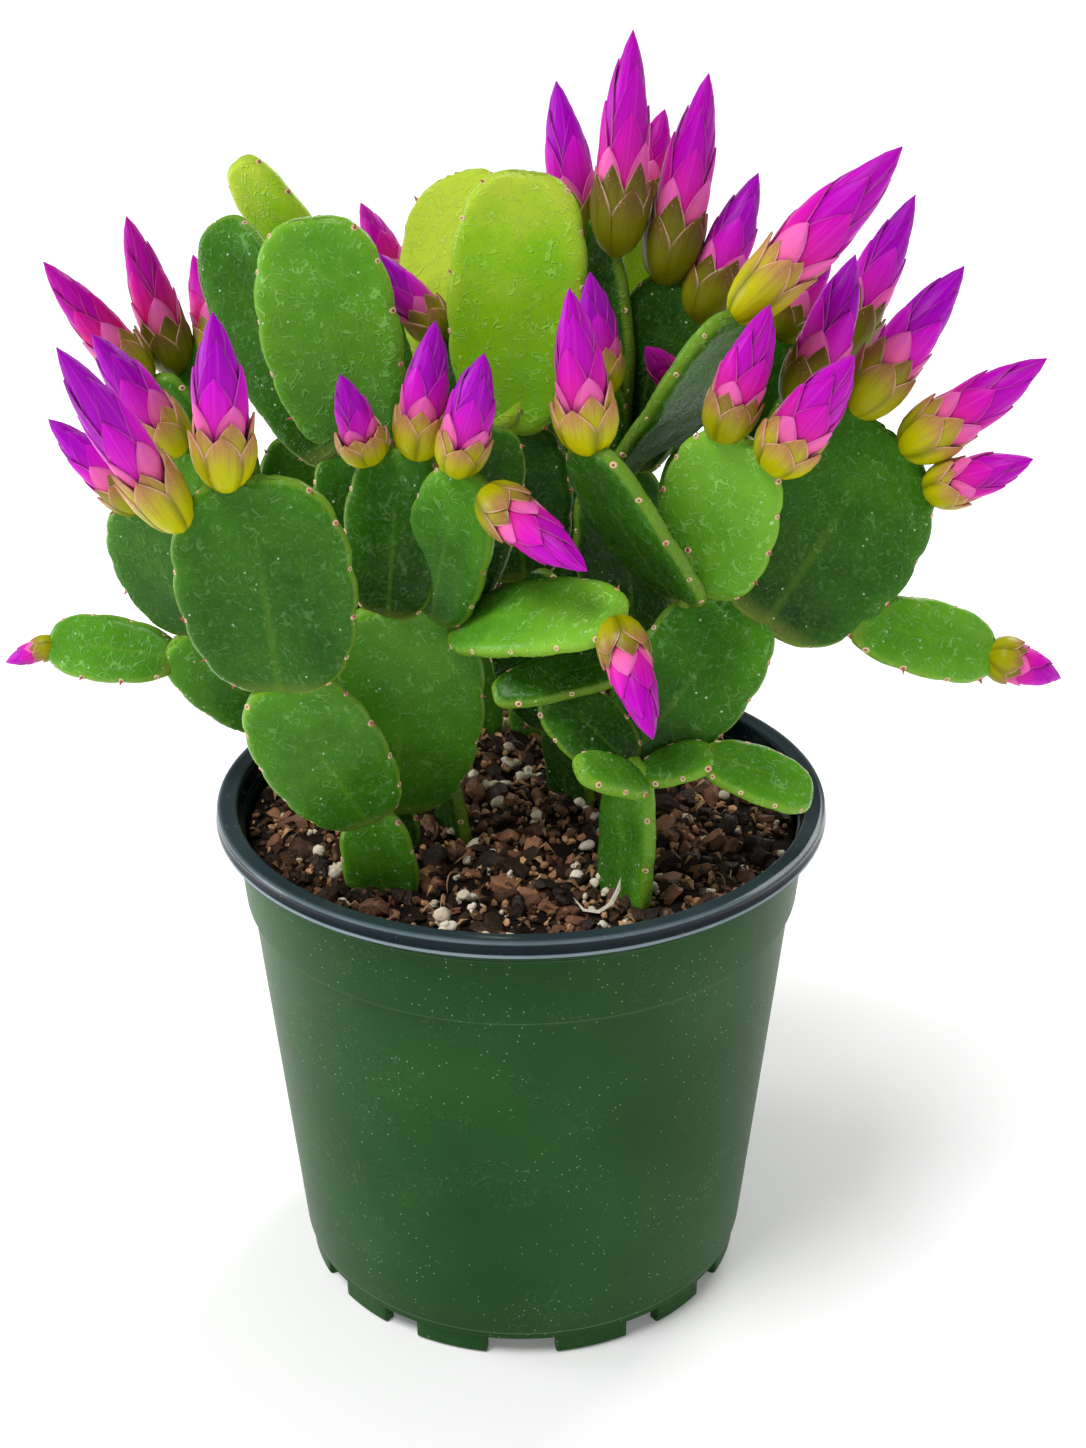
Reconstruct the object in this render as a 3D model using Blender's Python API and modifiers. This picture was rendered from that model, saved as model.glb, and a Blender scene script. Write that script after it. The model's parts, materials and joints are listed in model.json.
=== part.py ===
"""Potted easter cactus: a plastic nursery pot filled with potting mix, and a
plant of flat jointed pads that ends in pointed flower buds.

The origin is on the ground under the middle of the pot, +Z is up and -Y is the front.
"""

import math
from dataclasses import dataclass, field

import bmesh
import bpy
from mathutils import Matrix, Vector

MM = 0.001

# Pot: one thin plastic shell, turned round Z
POT_TOP = 0.1335
POT_STEPS = 28
POT_WALL = 0.0012
WALL_SLOPE = 0.0957
LIP_RADIUS = 0.0772
LIP_DEPTH = 0.0042
LIP_CHAMFER = 0.0016
LIP_UNDERCUT = 0.0011
RIM_RADIUS = 0.0716
RIM_DEPTH = 0.0062
RIM_CHAMFER = 0.0006
SHOULDER_HEIGHT = 0.1078
SHOULDER_STEP = 0.0013
SHOULDER_BEVEL = 0.0005
LEDGE_RADIUS = 0.0598
LEDGE_HEIGHT = 0.0077
LEDGE_BEVEL = 0.0006
FOOT_RADIUS = 0.0584
FOOT_THICKNESS = 0.0032
FOOT_DRAFT = 0.0003
FLOOR_UNDERSIDE = 0.0050
FLOOR_TOP = 0.0065
WELD_DISTANCE = 0.00005

# Notches between the pot's feet: the same three in every quarter turn, as the angle of
# each from the front and the angle that it spans, in degrees
NOTCH_TOP = 0.0069
NOTCHES = {0.0: 17.6, 32.5: 9.6, 57.5: 9.6}
QUARTERS = 4
QUARTER_TURN = 90.0

# Potting mix
SOIL_LEVEL = 0.125
SOIL_MOUND = 0.0015
SOIL_ROUGHNESS = 0.0013
SOIL_RINGS = (0.0, 0.011, 0.022, 0.033, 0.044, 0.054, 0.063)
GRAIN_TURNS = (12989.8, 7823.3)
GRAIN_SPREAD = 43758.5453

# Plant
GAP = 0.0003
ROOT_DEPTH = 0.012
PAD_SINK = 0.0032
CUP_SINK = 0.0024
PAD_THICKNESS = 0.0042
PAD_SIDES = 6
PAD_EGG = 0.06
PAD_BLUNTNESS = 0.62
PAD_BOW = 0.05
NOTCH_DEPTH = 0.075
NOTCHES_BY_WIDTH = ((0.0275, 4), (0.0145, 3), (0.0, 2))
HOLE_MARGIN = 0.0005
HOLE_LENGTH = 0.022
HOLE_LEVEL = 1.25
HOLE_FULLNESS = 1.3


@dataclass(frozen=True)
class Pad:
    """One flat joint of a stem.

    Attributes:
        tip: Where its upper end is, in millimetres.
        width: Its greatest width, in millimetres.
        facing: The direction that its flat face looks in.
        parent: The pad that it grows from, or none for a pad that is rooted in the soil.
        spot: Where on the parent's outline, in degrees from the parent's tip.
    """

    tip: tuple
    width: float
    facing: tuple
    parent: str = ""
    spot: float = 0.0


@dataclass(frozen=True)
class Bud:
    """One flower bud, a green cup of scales round a pointed roll of petals.

    Attributes:
        number: Its number in the plant, for its name.
        parent: The pad that it grows from.
        spot: Where on the parent's outline, in degrees from the parent's tip.
        tip: Where the roll of petals ends, in millimetres.
        width: Its greatest width, in millimetres.
        sides: The number of edges round it, two for each petal of a layer.
    """

    number: int
    parent: str
    spot: float
    tip: tuple
    width: float
    sides: int = 10


@dataclass(frozen=True)
class Stem:
    """One rooted cutting: where it stands in the soil, its pads and its buds."""

    name: str
    root: tuple
    pads: dict
    buds: tuple = field(default_factory=tuple)


STEMS = (
    Stem(
        "stem_front_left",
        (-31, -37),
        {
            "a1": Pad((-35, -43, 149), 18, (0, -1, 0.1)),
            "a2": Pad((-53, -56, 188), 29, (-0.1, -1, 0.3), "a1"),
            "a3": Pad((-55, -60, 236), 40, (-0.1, -1, 0.1), "a2"),
        },
        (
            Bud(4, "a3", -50, (-90, -74, 267.5), 15),
            Bud(7, "a3", -8, (-61, -60, 271), 16.5),
        ),
    ),
    Stem(
        "stem_left",
        (-47, 17),
        {
            "b1": Pad((-58, 4, 152), 18, (-0.2, -1, 0)),
            "b2": Pad((-84, -4, 176.5), 23, (-0.3, -1, 0.3), "b1"),
            "b3": Pad((-87, -14, 215), 29, (-0.4, -1, 0.1), "b2", 15),
            "b4": Pad((-118, 8, 170), 17, (0, -1, 0.6), "b2", -15),
            "b5": Pad((-77, -15, 229), 14, (-0.4, -1, 0.1), "b3", 35),
        },
        (
            Bud(5, "b5", 0, (-94, -22, 256.5), 13, 8),
            Bud(6, "b3", 0, (-108, -12, 234), 12, 8),
            Bud(32, "b4", 0, (-130, 9, 164), 7, 8),
        ),
    ),
    Stem(
        "stem_middle",
        (-33, -18),
        {
            "c1": Pad((-31, -19, 139), 14, (0.1, -1, 0)),
            "c2": Pad((-27, -24, 193), 41, (0.15, -1, 0), "c1"),
            "c3": Pad((-26, -24, 231), 24, (-0.1, -1, 0.1), "c2", -3),
            "c4": Pad((-11, -34, 229), 22, (-0.5, -1, 0.1), "c2", 14),
            "c5": Pad((-5, -14, 233), 20, (0.3, -1, 0), "c2", 22),
            "c6": Pad((23, -54, 202), 21, (0, -0.8, 1), "c2", 28),
        },
        (
            Bud(8, "c3", -28, (-39, -28, 249), 12.5, 8),
            Bud(9, "c3", 8, (-18, -24, 260), 13, 8),
            Bud(10, "c4", -6, (-7, -40, 257), 13.5, 8),
            Bud(11, "c4", 18, (15, -60, 215), 13, 8),
            Bud(31, "c6", 0, (29, -74, 182), 12, 8),
        ),
    ),
    Stem(
        "stem_right",
        (24, -44),
        {
            "d1": Pad((26, -42, 163), 22, (-1, -0.55, 0)),
            "d2": Pad((7, -36, 177), 17, (-0.2, -1, 0.8), "d1", 0),
            "d3": Pad((13, -60, 168), 12, (0, -0.6, 1), "d1", 25),
            "d4": Pad((45, -44, 164), 11, (0, -0.5, 1), "d1", 15),
            "d5": Pad((68, -42, 152), 15, (0, -0.7, 1), "d4"),
            "d6": Pad((53, -25, 195), 30, (0.1, -1, 0.3), "d1", -10),
            "d7": Pad((-6, -40, 177), 12, (0, -0.7, 1), "d6", -100),
            "d8": Pad((15, -38, 236), 26, (-0.7, -0.6, -0.4), "d6", -42),
            "d9": Pad((48, -30, 236), 28, (-0.3, -1, 0.1), "d6", -28),
            "d10": Pad((38, -12, 227), 16, (-0.9, -0.5, 0), "d6", -52),
            "d11": Pad((85, -6, 230), 50, (0.2, -1, 0.1), "d6", 14),
            "d12": Pad((114, -12, 175), 19, (0.1, -1, 0.6), "d11", 126),
        },
        (
            Bud(12, "d8", 0, (11, -40, 271), 15),
            Bud(24, "d11", -50, (76, -4, 270), 15, 8),
            Bud(25, "d9", -6, (54, -34, 266), 14),
            Bud(26, "d9", 36, (71, -45, 258), 15.5),
            Bud(27, "d11", -12, (102, 2, 266), 15.5),
            Bud(28, "d11", 7, (120, -11, 248), 15, 8),
            Bud(29, "d11", 34, (117, -20, 227), 12.5, 8),
            Bud(30, "d12", 0, (131, -12, 169), 12, 8),
        ),
    ),
    Stem(
        "stem_centre",
        (16, 7),
        {
            "e1": Pad((9, 5, 150), 15, (-0.8, -0.8, 0)),
            "e2": Pad((0, 8, 190), 26, (-0.3, -1, 0), "e1"),
            "e3": Pad((-3, 10, 227), 28, (0.2, -1, 0), "e2"),
            "e4": Pad((2, 9, 286), 33, (-0.2, -1, 0), "e3"),
            "e5": Pad((-16, 46, 278), 36, (-0.4, -1, 0), "e3", -10),
            "e6": Pad((-18, 20, 246), 14, (0, -1, 0), "e3", -30),
        },
        (Bud(14, "e6", 0, (-37, 13, 268), 12, 8),),
    ),
    Stem(
        "stem_inner_right",
        (32, 32),
        {
            "f1": Pad((28, 20, 166), 24, (0.2, -1, 0)),
            "f2": Pad((22, 5, 218), 26, (0.3, -1, 0), "f1"),
            "f3": Pad((48, -20, 261), 27, (0.6, -0.65, -0.5), "f2", 5),
            "f4": Pad((35.8, 12, 261), 22, (-0.3, -1, 0.2), "f2", 12),
            "f5": Pad((17, 15, 274), 18, (0.8, 0.6, 0), "f2", -5),
            "f6": Pad((20, -5, 240), 13, (0, -1, 0.1), "f2", -15),
        },
        (
            Bud(13, "f6", 0, (16, -8, 267), 12, 8),
            Bud(16, "f5", 38, (8.5, 23, 304), 14, 8),
            Bud(17, "f5", -38, (25.5, 9, 317), 14.5),
            Bud(19, "f4", -3, (43, 14, 307), 15),
            Bud(20, "f4", 46, (55.5, 18, 284), 14, 8),
            Bud(21, "f3", 0, (82, -22, 297), 17.5),
            Bud(33, "f4", 95, (29, -5, 249), 9, 8),
        ),
    ),
    Stem(
        "stem_inner_left",
        (-14, -12),
        {
            "g1": Pad((-21, -8, 148), 14, (-0.8, -0.5, 0)),
            "g2": Pad((-31, -2, 188), 26, (-0.2, -1, 0), "g1"),
            "g3": Pad((-39, 4, 224), 28, (-0.1, -1, 0), "g2"),
            "g4": Pad((-47, 2, 277), 35, (-0.3, -1, 0.3), "g3"),
            "g5": Pad((-72, 26, 271), 24, (-0.5, -1, 0.2), "g3", -20),
        },
    ),
    Stem(
        "stem_back_left",
        (-40, 38),
        {
            "h1": Pad((-57, 38, 160), 20, (-0.3, -1, 0)),
            "h2": Pad((-76, 34, 200), 24, (-0.3, -1, 0), "h1"),
            "h3": Pad((-90, 28, 233), 18, (-0.3, -1, 0.2), "h2", -14),
            "h4": Pad((-82, 38, 239), 18, (-0.3, -1, 0), "h2", 15),
            "h5": Pad((-58, 48, 212), 27, (0.1, -1, 0), "h1", 20),
            "h6": Pad((-45, 46, 253), 24, (0, -1, 0), "h5"),
            "h7": Pad((-70, 50, 281), 15, (-0.5, -1, 0.3), "h6"),
            "h8": Pad((-74, 60, 196), 26, (-0.5, 1, 0.2), "h1", 35),
        },
        (
            Bud(1, "h3", -10, (-114, 24, 262), 13, 8),
            Bud(2, "h4", -40, (-95, 33, 271), 13.5, 8),
            Bud(3, "h4", 45, (-83, 54, 257), 11, 8),
            Bud(35, "h8", 0, (-94, 68, 216), 13, 8),
        ),
    ),
    Stem(
        "stem_back",
        (-16, 46),
        {
            "i1": Pad((-22, 52, 160), 27, (0, 1, 0)),
            "i2": Pad((-34, 56, 205), 32, (0.1, 1, 0), "i1"),
            "i3": Pad((-29, 58, 245), 26, (-0.2, 1, 0), "i2"),
            "i4": Pad((-54, 66, 236), 26, (-0.3, 1, 0.2), "i2", 25),
            "i5": Pad((-26, 68, 190), 28, (0, 1, 0.3), "i1", 20),
        },
        (
            Bud(15, "i3", 0, (-41, 64, 268), 12, 8),
            Bud(36, "i4", 0, (-58, 74, 258), 12, 8),
            Bud(37, "i5", 0, (-36, 74, 216), 13, 8),
        ),
    ),
    Stem(
        "stem_back_centre",
        (10, 44),
        {
            "j1": Pad((8, 50, 160), 27, (0, 1, 0)),
            "j2": Pad((18, 50, 205), 28, (0, 1, 0), "j1"),
            "j3": Pad((24, 44, 238), 22, (0, 1, 0), "j2"),
            "j4": Pad((29, 40, 272), 20, (0, 1, 0), "j3"),
            "j5": Pad((8, 64, 242), 30, (0.1, 1, 0.2), "j2", 20),
            "j6": Pad((2, 68, 192), 27, (0, 1, 0.3), "j1", 20),
            "j7": Pad((46, 36, 257), 20, (0.2, 1, 0), "j3", -20),
        },
        (
            Bud(18, "j4", 0, (35, 46, 294), 12, 8),
            Bud(34, "j7", 0, (58, 42, 268), 11, 8),
            Bud(38, "j5", 0, (6, 74, 267), 13, 8),
            Bud(39, "j6", 0, (-2, 75, 219), 12, 8),
        ),
    ),
    Stem(
        "stem_back_right",
        (47, 46),
        {
            "k1": Pad((48, 43, 142), 12, (-0.8, -0.5, 0)),
            "k2": Pad((56, 44, 188), 24, (0.2, -1, 0), "k1"),
            "k3": Pad((65, 42, 240), 26, (0.2, -1, 0), "k2", -5),
            "k4": Pad((77, 24, 240), 24, (0.3, -1, 0), "k2", 15),
            "k5": Pad((86, 54, 190), 26, (0.4, 1, 0.2), "k2", 50),
            "k6": Pad((55, 62, 207), 28, (0.1, 1, 0.2), "k2", -20),
        },
        (
            Bud(22, "k4", 0, (94, 28, 277), 14, 8),
            Bud(23, "k3", 0, (77, 46, 262), 12, 8),
            Bud(40, "k5", 0, (108, 62, 206), 12, 8),
            Bud(41, "k6", 0, (63, 74, 233), 13, 8),
        ),
    ),
)

# Flower bud: heights as parts of the bud's length, radii as parts of its greatest radius.
# Each ring is (height, radius, zigzag), and a zigzag makes the points of the scales or petals.
CUP_BOTTOM = 0.0
CUP_RINGS = ((0.09, 0.84, 0.0), (0.315, 0.96, 0.045), (0.215, 0.64, 0.0))
CUP_HOLLOW = 0.17
PETAL_BOTTOM = 0.19
PETAL_RINGS = (
    (0.24, 0.56, 0.0),
    (0.36, 0.80, 0.0),
    (0.52, 0.86, 0.06),
    (0.525, 0.75, 0.06),
    (0.76, 0.54, -0.06),
    (0.765, 0.43, -0.06),
)
PETAL_TIP = 1.0


def principled(name, colour, roughness, metallic=0.0):
    """Make one Principled material."""
    material = bpy.data.materials.new(name)
    material.use_nodes = True
    shader = material.node_tree.nodes["Principled BSDF"]
    shader.inputs["Base Color"].default_value = (*colour, 1.0)
    shader.inputs["Roughness"].default_value = roughness
    shader.inputs["Metallic"].default_value = metallic
    material.diffuse_color = (*colour, 1.0)
    return material


def link_mesh(name, mesh, collection, material=None):
    """Put a mesh in the scene as a named object."""
    body = bpy.data.objects.new(name, mesh)
    collection.objects.link(body)
    if material is not None:
        mesh.materials.append(material)
    return body


def mesh_from(name, shape):
    """Turn an edited closed shape into a mesh with its faces pointing out."""
    bmesh.ops.recalc_face_normals(shape, faces=shape.faces)
    if shape.calc_volume(signed=True) < 0.0:
        bmesh.ops.reverse_faces(shape, faces=shape.faces)
    mesh = bpy.data.meshes.new(name)
    shape.to_mesh(mesh)
    shape.free()
    return mesh


def make_cutter(body):
    """Show a body as a wire guide that is never rendered."""
    body.hide_render = True
    body.display_type = "WIRE"


def turned(name, profile, steps, collection, material):
    """Turn a profile of (radius, height) points round Z into a closed body."""
    mesh = bpy.data.meshes.new(name)
    edges = [(i, i + 1) for i in range(len(profile) - 1)]
    mesh.from_pydata([(radius, 0.0, height) for radius, height in profile], edges, [])
    body = link_mesh(name, mesh, collection, material)
    screw = body.modifiers.new("turn", "SCREW")
    screw.steps = steps
    screw.render_steps = steps
    screw.use_merge_vertices = True
    screw.merge_threshold = WELD_DISTANCE
    return body


def apply_modifiers(body):
    """Replace a body's mesh by the one that its modifiers make."""
    graph = bpy.context.evaluated_depsgraph_get()
    old = body.data
    mesh = bpy.data.meshes.new_from_object(body.evaluated_get(graph))
    body.modifiers.clear()
    body.data = mesh
    bpy.data.meshes.remove(old)


def cut_with(body, cutters):
    """Cut every object of a collection out of a body."""
    cut = body.modifiers.new("cut", "BOOLEAN")
    cut.operation = "DIFFERENCE"
    cut.operand_type = "COLLECTION"
    cut.collection = cutters
    cut.solver = "EXACT"


def wall_radius(height):
    """Give the radius of the pot's tapered outside at a height."""
    return LEDGE_RADIUS + WALL_SLOPE * (height - LEDGE_HEIGHT)


def inner_radius(height):
    """Give the radius of the pot's tapered inside at a height."""
    return wall_radius(height) - POT_WALL


def make_notches(collection):
    """Make the blocks that part the pot's feet."""
    depth = 2.0 * (FOOT_RADIUS - FOOT_THICKNESS)
    for quarter in range(QUARTERS):
        for angle, span in NOTCHES.items():
            turn = math.radians(angle + quarter * QUARTER_TURN)
            block = bmesh.new()
            bmesh.ops.create_cube(block, size=1.0)
            size = Vector((
                2.0 * FOOT_RADIUS * math.sin(math.radians(span / 2.0)),
                FOOT_RADIUS - FOOT_THICKNESS / 2.0,
                2.0 * NOTCH_TOP,
            ))
            bmesh.ops.scale(block, vec=size, verts=block.verts)
            bmesh.ops.translate(block, vec=(0.0, -0.5 * (depth + size.y), 0.0), verts=block.verts)
            bmesh.ops.rotate(block, matrix=Matrix.Rotation(turn, 3, "Z"), verts=block.verts)
            cutter = link_mesh("notch", mesh_from("notch", block), collection)
            make_cutter(cutter)


def make_pot(collection, notches):
    """Make the pot: rolled lip, stepped and tapered wall, floor and notched foot ring."""
    wall_top = POT_TOP - LIP_DEPTH - LIP_UNDERCUT
    step_height = POT_TOP - RIM_DEPTH
    foot_inner = FOOT_RADIUS - FOOT_THICKNESS
    profile = (
        (0.0, FLOOR_TOP),
        (inner_radius(FLOOR_TOP), FLOOR_TOP),
        (inner_radius(step_height), step_height),
        (RIM_RADIUS - 0.5 * POT_WALL, step_height + 0.5 * POT_WALL),
        (RIM_RADIUS, POT_TOP - RIM_CHAMFER),
        (RIM_RADIUS + RIM_CHAMFER, POT_TOP),
        (LIP_RADIUS - LIP_CHAMFER, POT_TOP),
        (LIP_RADIUS, POT_TOP - LIP_CHAMFER),
        (LIP_RADIUS, POT_TOP - LIP_DEPTH),
        (wall_radius(wall_top) + SHOULDER_STEP, wall_top),
        (wall_radius(SHOULDER_HEIGHT) + SHOULDER_STEP, SHOULDER_HEIGHT + SHOULDER_BEVEL),
        (wall_radius(SHOULDER_HEIGHT), SHOULDER_HEIGHT - SHOULDER_BEVEL),
        (LEDGE_RADIUS, LEDGE_HEIGHT),
        (FOOT_RADIUS + FOOT_DRAFT, LEDGE_HEIGHT - LEDGE_BEVEL),
        (FOOT_RADIUS, 0.0),
        (foot_inner, 0.0),
        (foot_inner - FOOT_DRAFT, FLOOR_UNDERSIDE),
        (0.0, FLOOR_UNDERSIDE),
    )
    material = principled("pot_plastic", (0.03, 0.13, 0.06), 0.38)
    pot = turned("pot", profile, POT_STEPS, collection, material)
    cut_with(pot, notches)
    return pot


def soil_height(x, y):
    """Give the level of the potting mix: a low mound under a crust of coarse lumps."""
    mound = SOIL_MOUND * (1.0 - math.hypot(x, y) / RIM_RADIUS)
    grain = math.sin(GRAIN_TURNS[0] * x + GRAIN_TURNS[1] * y) * GRAIN_SPREAD
    return SOIL_LEVEL + mound + SOIL_ROUGHNESS * (grain - math.floor(grain) - 0.5)


def make_potting_mix(collection, holes):
    """Make the filling of the pot, with its rough top and a hole for each rooted stem."""
    bottom = FLOOR_TOP + GAP
    edge = (inner_radius(SOIL_LEVEL) - GAP, SOIL_LEVEL)
    rings = tuple((radius, SOIL_LEVEL) for radius in SOIL_RINGS)
    profile = (*rings, edge, (inner_radius(bottom) - GAP, bottom), (0.0, bottom))
    material = principled("potting_mix", (0.09, 0.045, 0.025), 0.92)
    soil = turned("potting_mix", profile, POT_STEPS, collection, material)
    apply_modifiers(soil)
    for vertex in soil.data.vertices:
        reach = math.hypot(vertex.co.x, vertex.co.y)
        if abs(vertex.co.z - SOIL_LEVEL) < GAP and reach < edge[0] - GAP:
            vertex.co.z = soil_height(vertex.co.x, vertex.co.y)
    cut_with(soil, holes)
    return soil


class PadFrame:
    """Where one pad stands, and the shape of its outline and faces."""

    def __init__(self, pad, base):
        """Stand a pad between its base, in metres, and its tip."""
        tip = Vector(pad.tip) * MM
        self.base = Vector(base)
        self.length = (tip - self.base).length
        self.half_width = 0.5 * pad.width * MM
        self.bow = PAD_BOW if pad.parent else 0.0
        self.axis = (tip - self.base).normalized()
        facing = Vector(pad.facing)
        self.normal = (facing - self.axis * facing.dot(self.axis)).normalized()
        self.across = self.axis.cross(self.normal)

    def outline(self, angle):
        """Give half the width at an angle from the tip: an egg, wider above its middle."""
        egg = 1.0 + PAD_EGG * math.cos(angle)
        return self.half_width * egg * max(math.sin(angle), 0.0) ** PAD_BLUNTNESS

    def place(self, across, along, off):
        """Turn a point of the pad into a point of the plant."""
        part = along / self.length
        bow = self.bow * self.length * 4.0 * part * (part - 1.0)
        return self.base + self.across * across + self.axis * along + self.normal * (off - bow)

    def growing_point(self, spot, sink):
        """Give the point where something grows, sunk a little inside the outline."""
        angle = math.radians(abs(spot))
        across = math.copysign(self.outline(angle), spot)
        along = 0.5 * self.length * (1.0 + math.cos(angle))
        inward = Vector((-across, 0.5 * self.length - along))
        if inward.length > 0.0:
            inward.normalize()
        return self.place(across + inward.x * sink, along + inward.y * sink, 0.0)


def notches_on(frame):
    """Give the number of notches on each side of a pad, more on a wide one."""
    for least, count in NOTCHES_BY_WIDTH:
        if 2.0 * frame.half_width > least:
            return count
    return 0


def hole_mesh(frame):
    """Make the plain slot in the soil that a rooted pad stands in."""
    soil_angle = math.acos(2.0 * ROOT_DEPTH * HOLE_LEVEL / frame.length - 1.0)
    half_width = frame.outline(soil_angle) + HOLE_MARGIN
    half_depth = 0.5 * PAD_THICKNESS + HOLE_MARGIN
    shape = bmesh.new()
    bmesh.ops.create_cone(
        shape, cap_ends=True, segments=PAD_SIDES, radius1=1.0, radius2=1.0, depth=HOLE_LENGTH
    )
    bmesh.ops.rotate(shape, matrix=Matrix.Rotation(math.pi / 2.0, 3, "Z"), verts=shape.verts)
    middle = 0.5 * HOLE_LENGTH - 2.0 * HOLE_MARGIN
    for vertex in shape.verts:
        across, off, along = vertex.co
        vertex.co = (
            frame.base
            + frame.across * (across * half_width)
            + frame.normal * (off * half_depth * HOLE_FULLNESS)
            + frame.axis * (along + middle)
        )
    return mesh_from("hole", shape)


def pad_mesh(frame, name):
    """Make one pad: a flat body with a waved edge, notched on each side."""
    bands = 2 * notches_on(frame) + 2
    shape = bmesh.new()
    bmesh.ops.create_uvsphere(shape, u_segments=PAD_SIDES, v_segments=bands, radius=1.0)
    for vertex in shape.verts:
        angle = math.acos(max(-1.0, min(1.0, vertex.co.z)))
        turn = math.atan2(vertex.co.y, vertex.co.x)
        wave = NOTCH_DEPTH * 0.5 * (1.0 + math.cos(bands * angle)) * abs(math.cos(turn)) ** 4
        across = frame.outline(angle) * (1.0 - wave) * math.cos(turn)
        off = 0.5 * PAD_THICKNESS * math.sqrt(max(math.sin(angle), 0.0)) * math.sin(turn)
        along = 0.5 * frame.length * (1.0 + math.cos(angle))
        vertex.co = frame.place(across, along, off)
    return mesh_from(name, shape)


def ringed_mesh(name, start, tip, radius, sides, ends, rings):
    """Make a closed pointed body from rings whose points go up and down in turn."""
    length = (tip - start).length
    lift = (tip - start).to_track_quat("Z", "Y").to_matrix().to_4x4()
    place = Matrix.Translation(start) @ lift
    levels = (ends[0], *rings, ends[1])
    shape = bmesh.new()
    bmesh.ops.create_uvsphere(shape, u_segments=sides, v_segments=len(rings) + 1, radius=1.0)
    for vertex in shape.verts:
        angle = math.acos(max(-1.0, min(1.0, -vertex.co.z)))
        level = levels[round(angle / math.pi * (len(rings) + 1))]
        if isinstance(level, float):
            vertex.co = place @ Vector((0.0, 0.0, level * length))
            continue
        turn = math.atan2(vertex.co.y, vertex.co.x)
        point = round(turn / math.tau * sides) % 2
        height = level[0] + (level[2] if point else -level[2])
        reach = level[1] * radius
        local = Vector((reach * math.cos(turn), reach * math.sin(turn), height * length))
        vertex.co = place @ local
    return mesh_from(name, shape)


def fuse(name, bodies, collection, material):
    """Join overlapping bodies into one and remove the ones it was made from."""
    others = bpy.data.collections.new(name + "_joined")
    bpy.context.scene.collection.children.link(others)
    whole = bodies[0]
    for body in bodies[1:]:
        collection.objects.unlink(body)
        others.objects.link(body)
    join = whole.modifiers.new("join", "BOOLEAN")
    join.operation = "UNION"
    join.operand_type = "COLLECTION"
    join.collection = others
    join.solver = "EXACT"
    apply_modifiers(whole)
    for body in bodies[1:]:
        mesh = body.data
        bpy.data.objects.remove(body)
        bpy.data.meshes.remove(mesh)
    bpy.data.collections.remove(others)
    whole.name = name
    whole.data.name = name
    whole.data.materials.clear()
    whole.data.materials.append(material)
    return whole


def make_stem(stem, collection, holes, skin, petal_skin):
    """Make one stem: its pads and bud cups fused, and the petals of each bud."""
    frames = {}
    bodies = []
    for name, pad in stem.pads.items():
        if pad.parent:
            base = frames[pad.parent].growing_point(pad.spot, PAD_SINK)
        else:
            base = Vector((stem.root[0] * MM, stem.root[1] * MM, SOIL_LEVEL - ROOT_DEPTH))
        frames[name] = PadFrame(pad, base)
        bodies.append(link_mesh(name, pad_mesh(frames[name], name), collection))
        if not pad.parent:
            make_cutter(link_mesh("hole_" + stem.name, hole_mesh(frames[name]), holes))
    for bud in stem.buds:
        start = frames[bud.parent].growing_point(bud.spot, CUP_SINK)
        tip = Vector(bud.tip) * MM
        radius = 0.5 * bud.width * MM
        cup = ringed_mesh(
            "cup", start, tip, radius, bud.sides, (CUP_BOTTOM, CUP_HOLLOW), CUP_RINGS
        )
        bodies.append(link_mesh("cup", cup, collection))
        petals = ringed_mesh(
            "petals", start, tip, radius, bud.sides, (PETAL_BOTTOM, PETAL_TIP), PETAL_RINGS
        )
        link_mesh(f"petals_{bud.number:02d}", petals, collection, petal_skin)
    fuse(stem.name, bodies, collection, skin)


def clear_scene():
    """Remove the objects that the scene starts with."""
    for body in list(bpy.data.objects):
        bpy.data.objects.remove(body)


def main():
    """Build the plant in its pot."""
    clear_scene()
    parts = bpy.data.collections.new("potted_easter_cactus")
    notches = bpy.data.collections.new("foot_notches")
    holes = bpy.data.collections.new("stem_holes")
    for collection in (parts, notches, holes):
        bpy.context.scene.collection.children.link(collection)
    make_notches(notches)
    make_pot(parts, notches)
    skin = principled("pad_skin", (0.07, 0.22, 0.04), 0.42)
    petal_skin = principled("petal_skin", (0.55, 0.05, 0.42), 0.45)
    for stem in STEMS:
        make_stem(stem, parts, holes, skin, petal_skin)
    make_potting_mix(parts, holes)


main()
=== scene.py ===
"""Potted easter cactus: the finished look of the plant and its pot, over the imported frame.

Lengths are in metres, apart from the plant's tables, which are in millimetres. The origin is
on the ground under the middle of the pot, +Z is up and -Y is the front.
"""

import json
import logging
import math
import random
from dataclasses import dataclass
from enum import Enum
from typing import Callable, Sequence, Union

import bmesh
import bpy
import numpy as np
from mathutils import Matrix, Vector, noise

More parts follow.
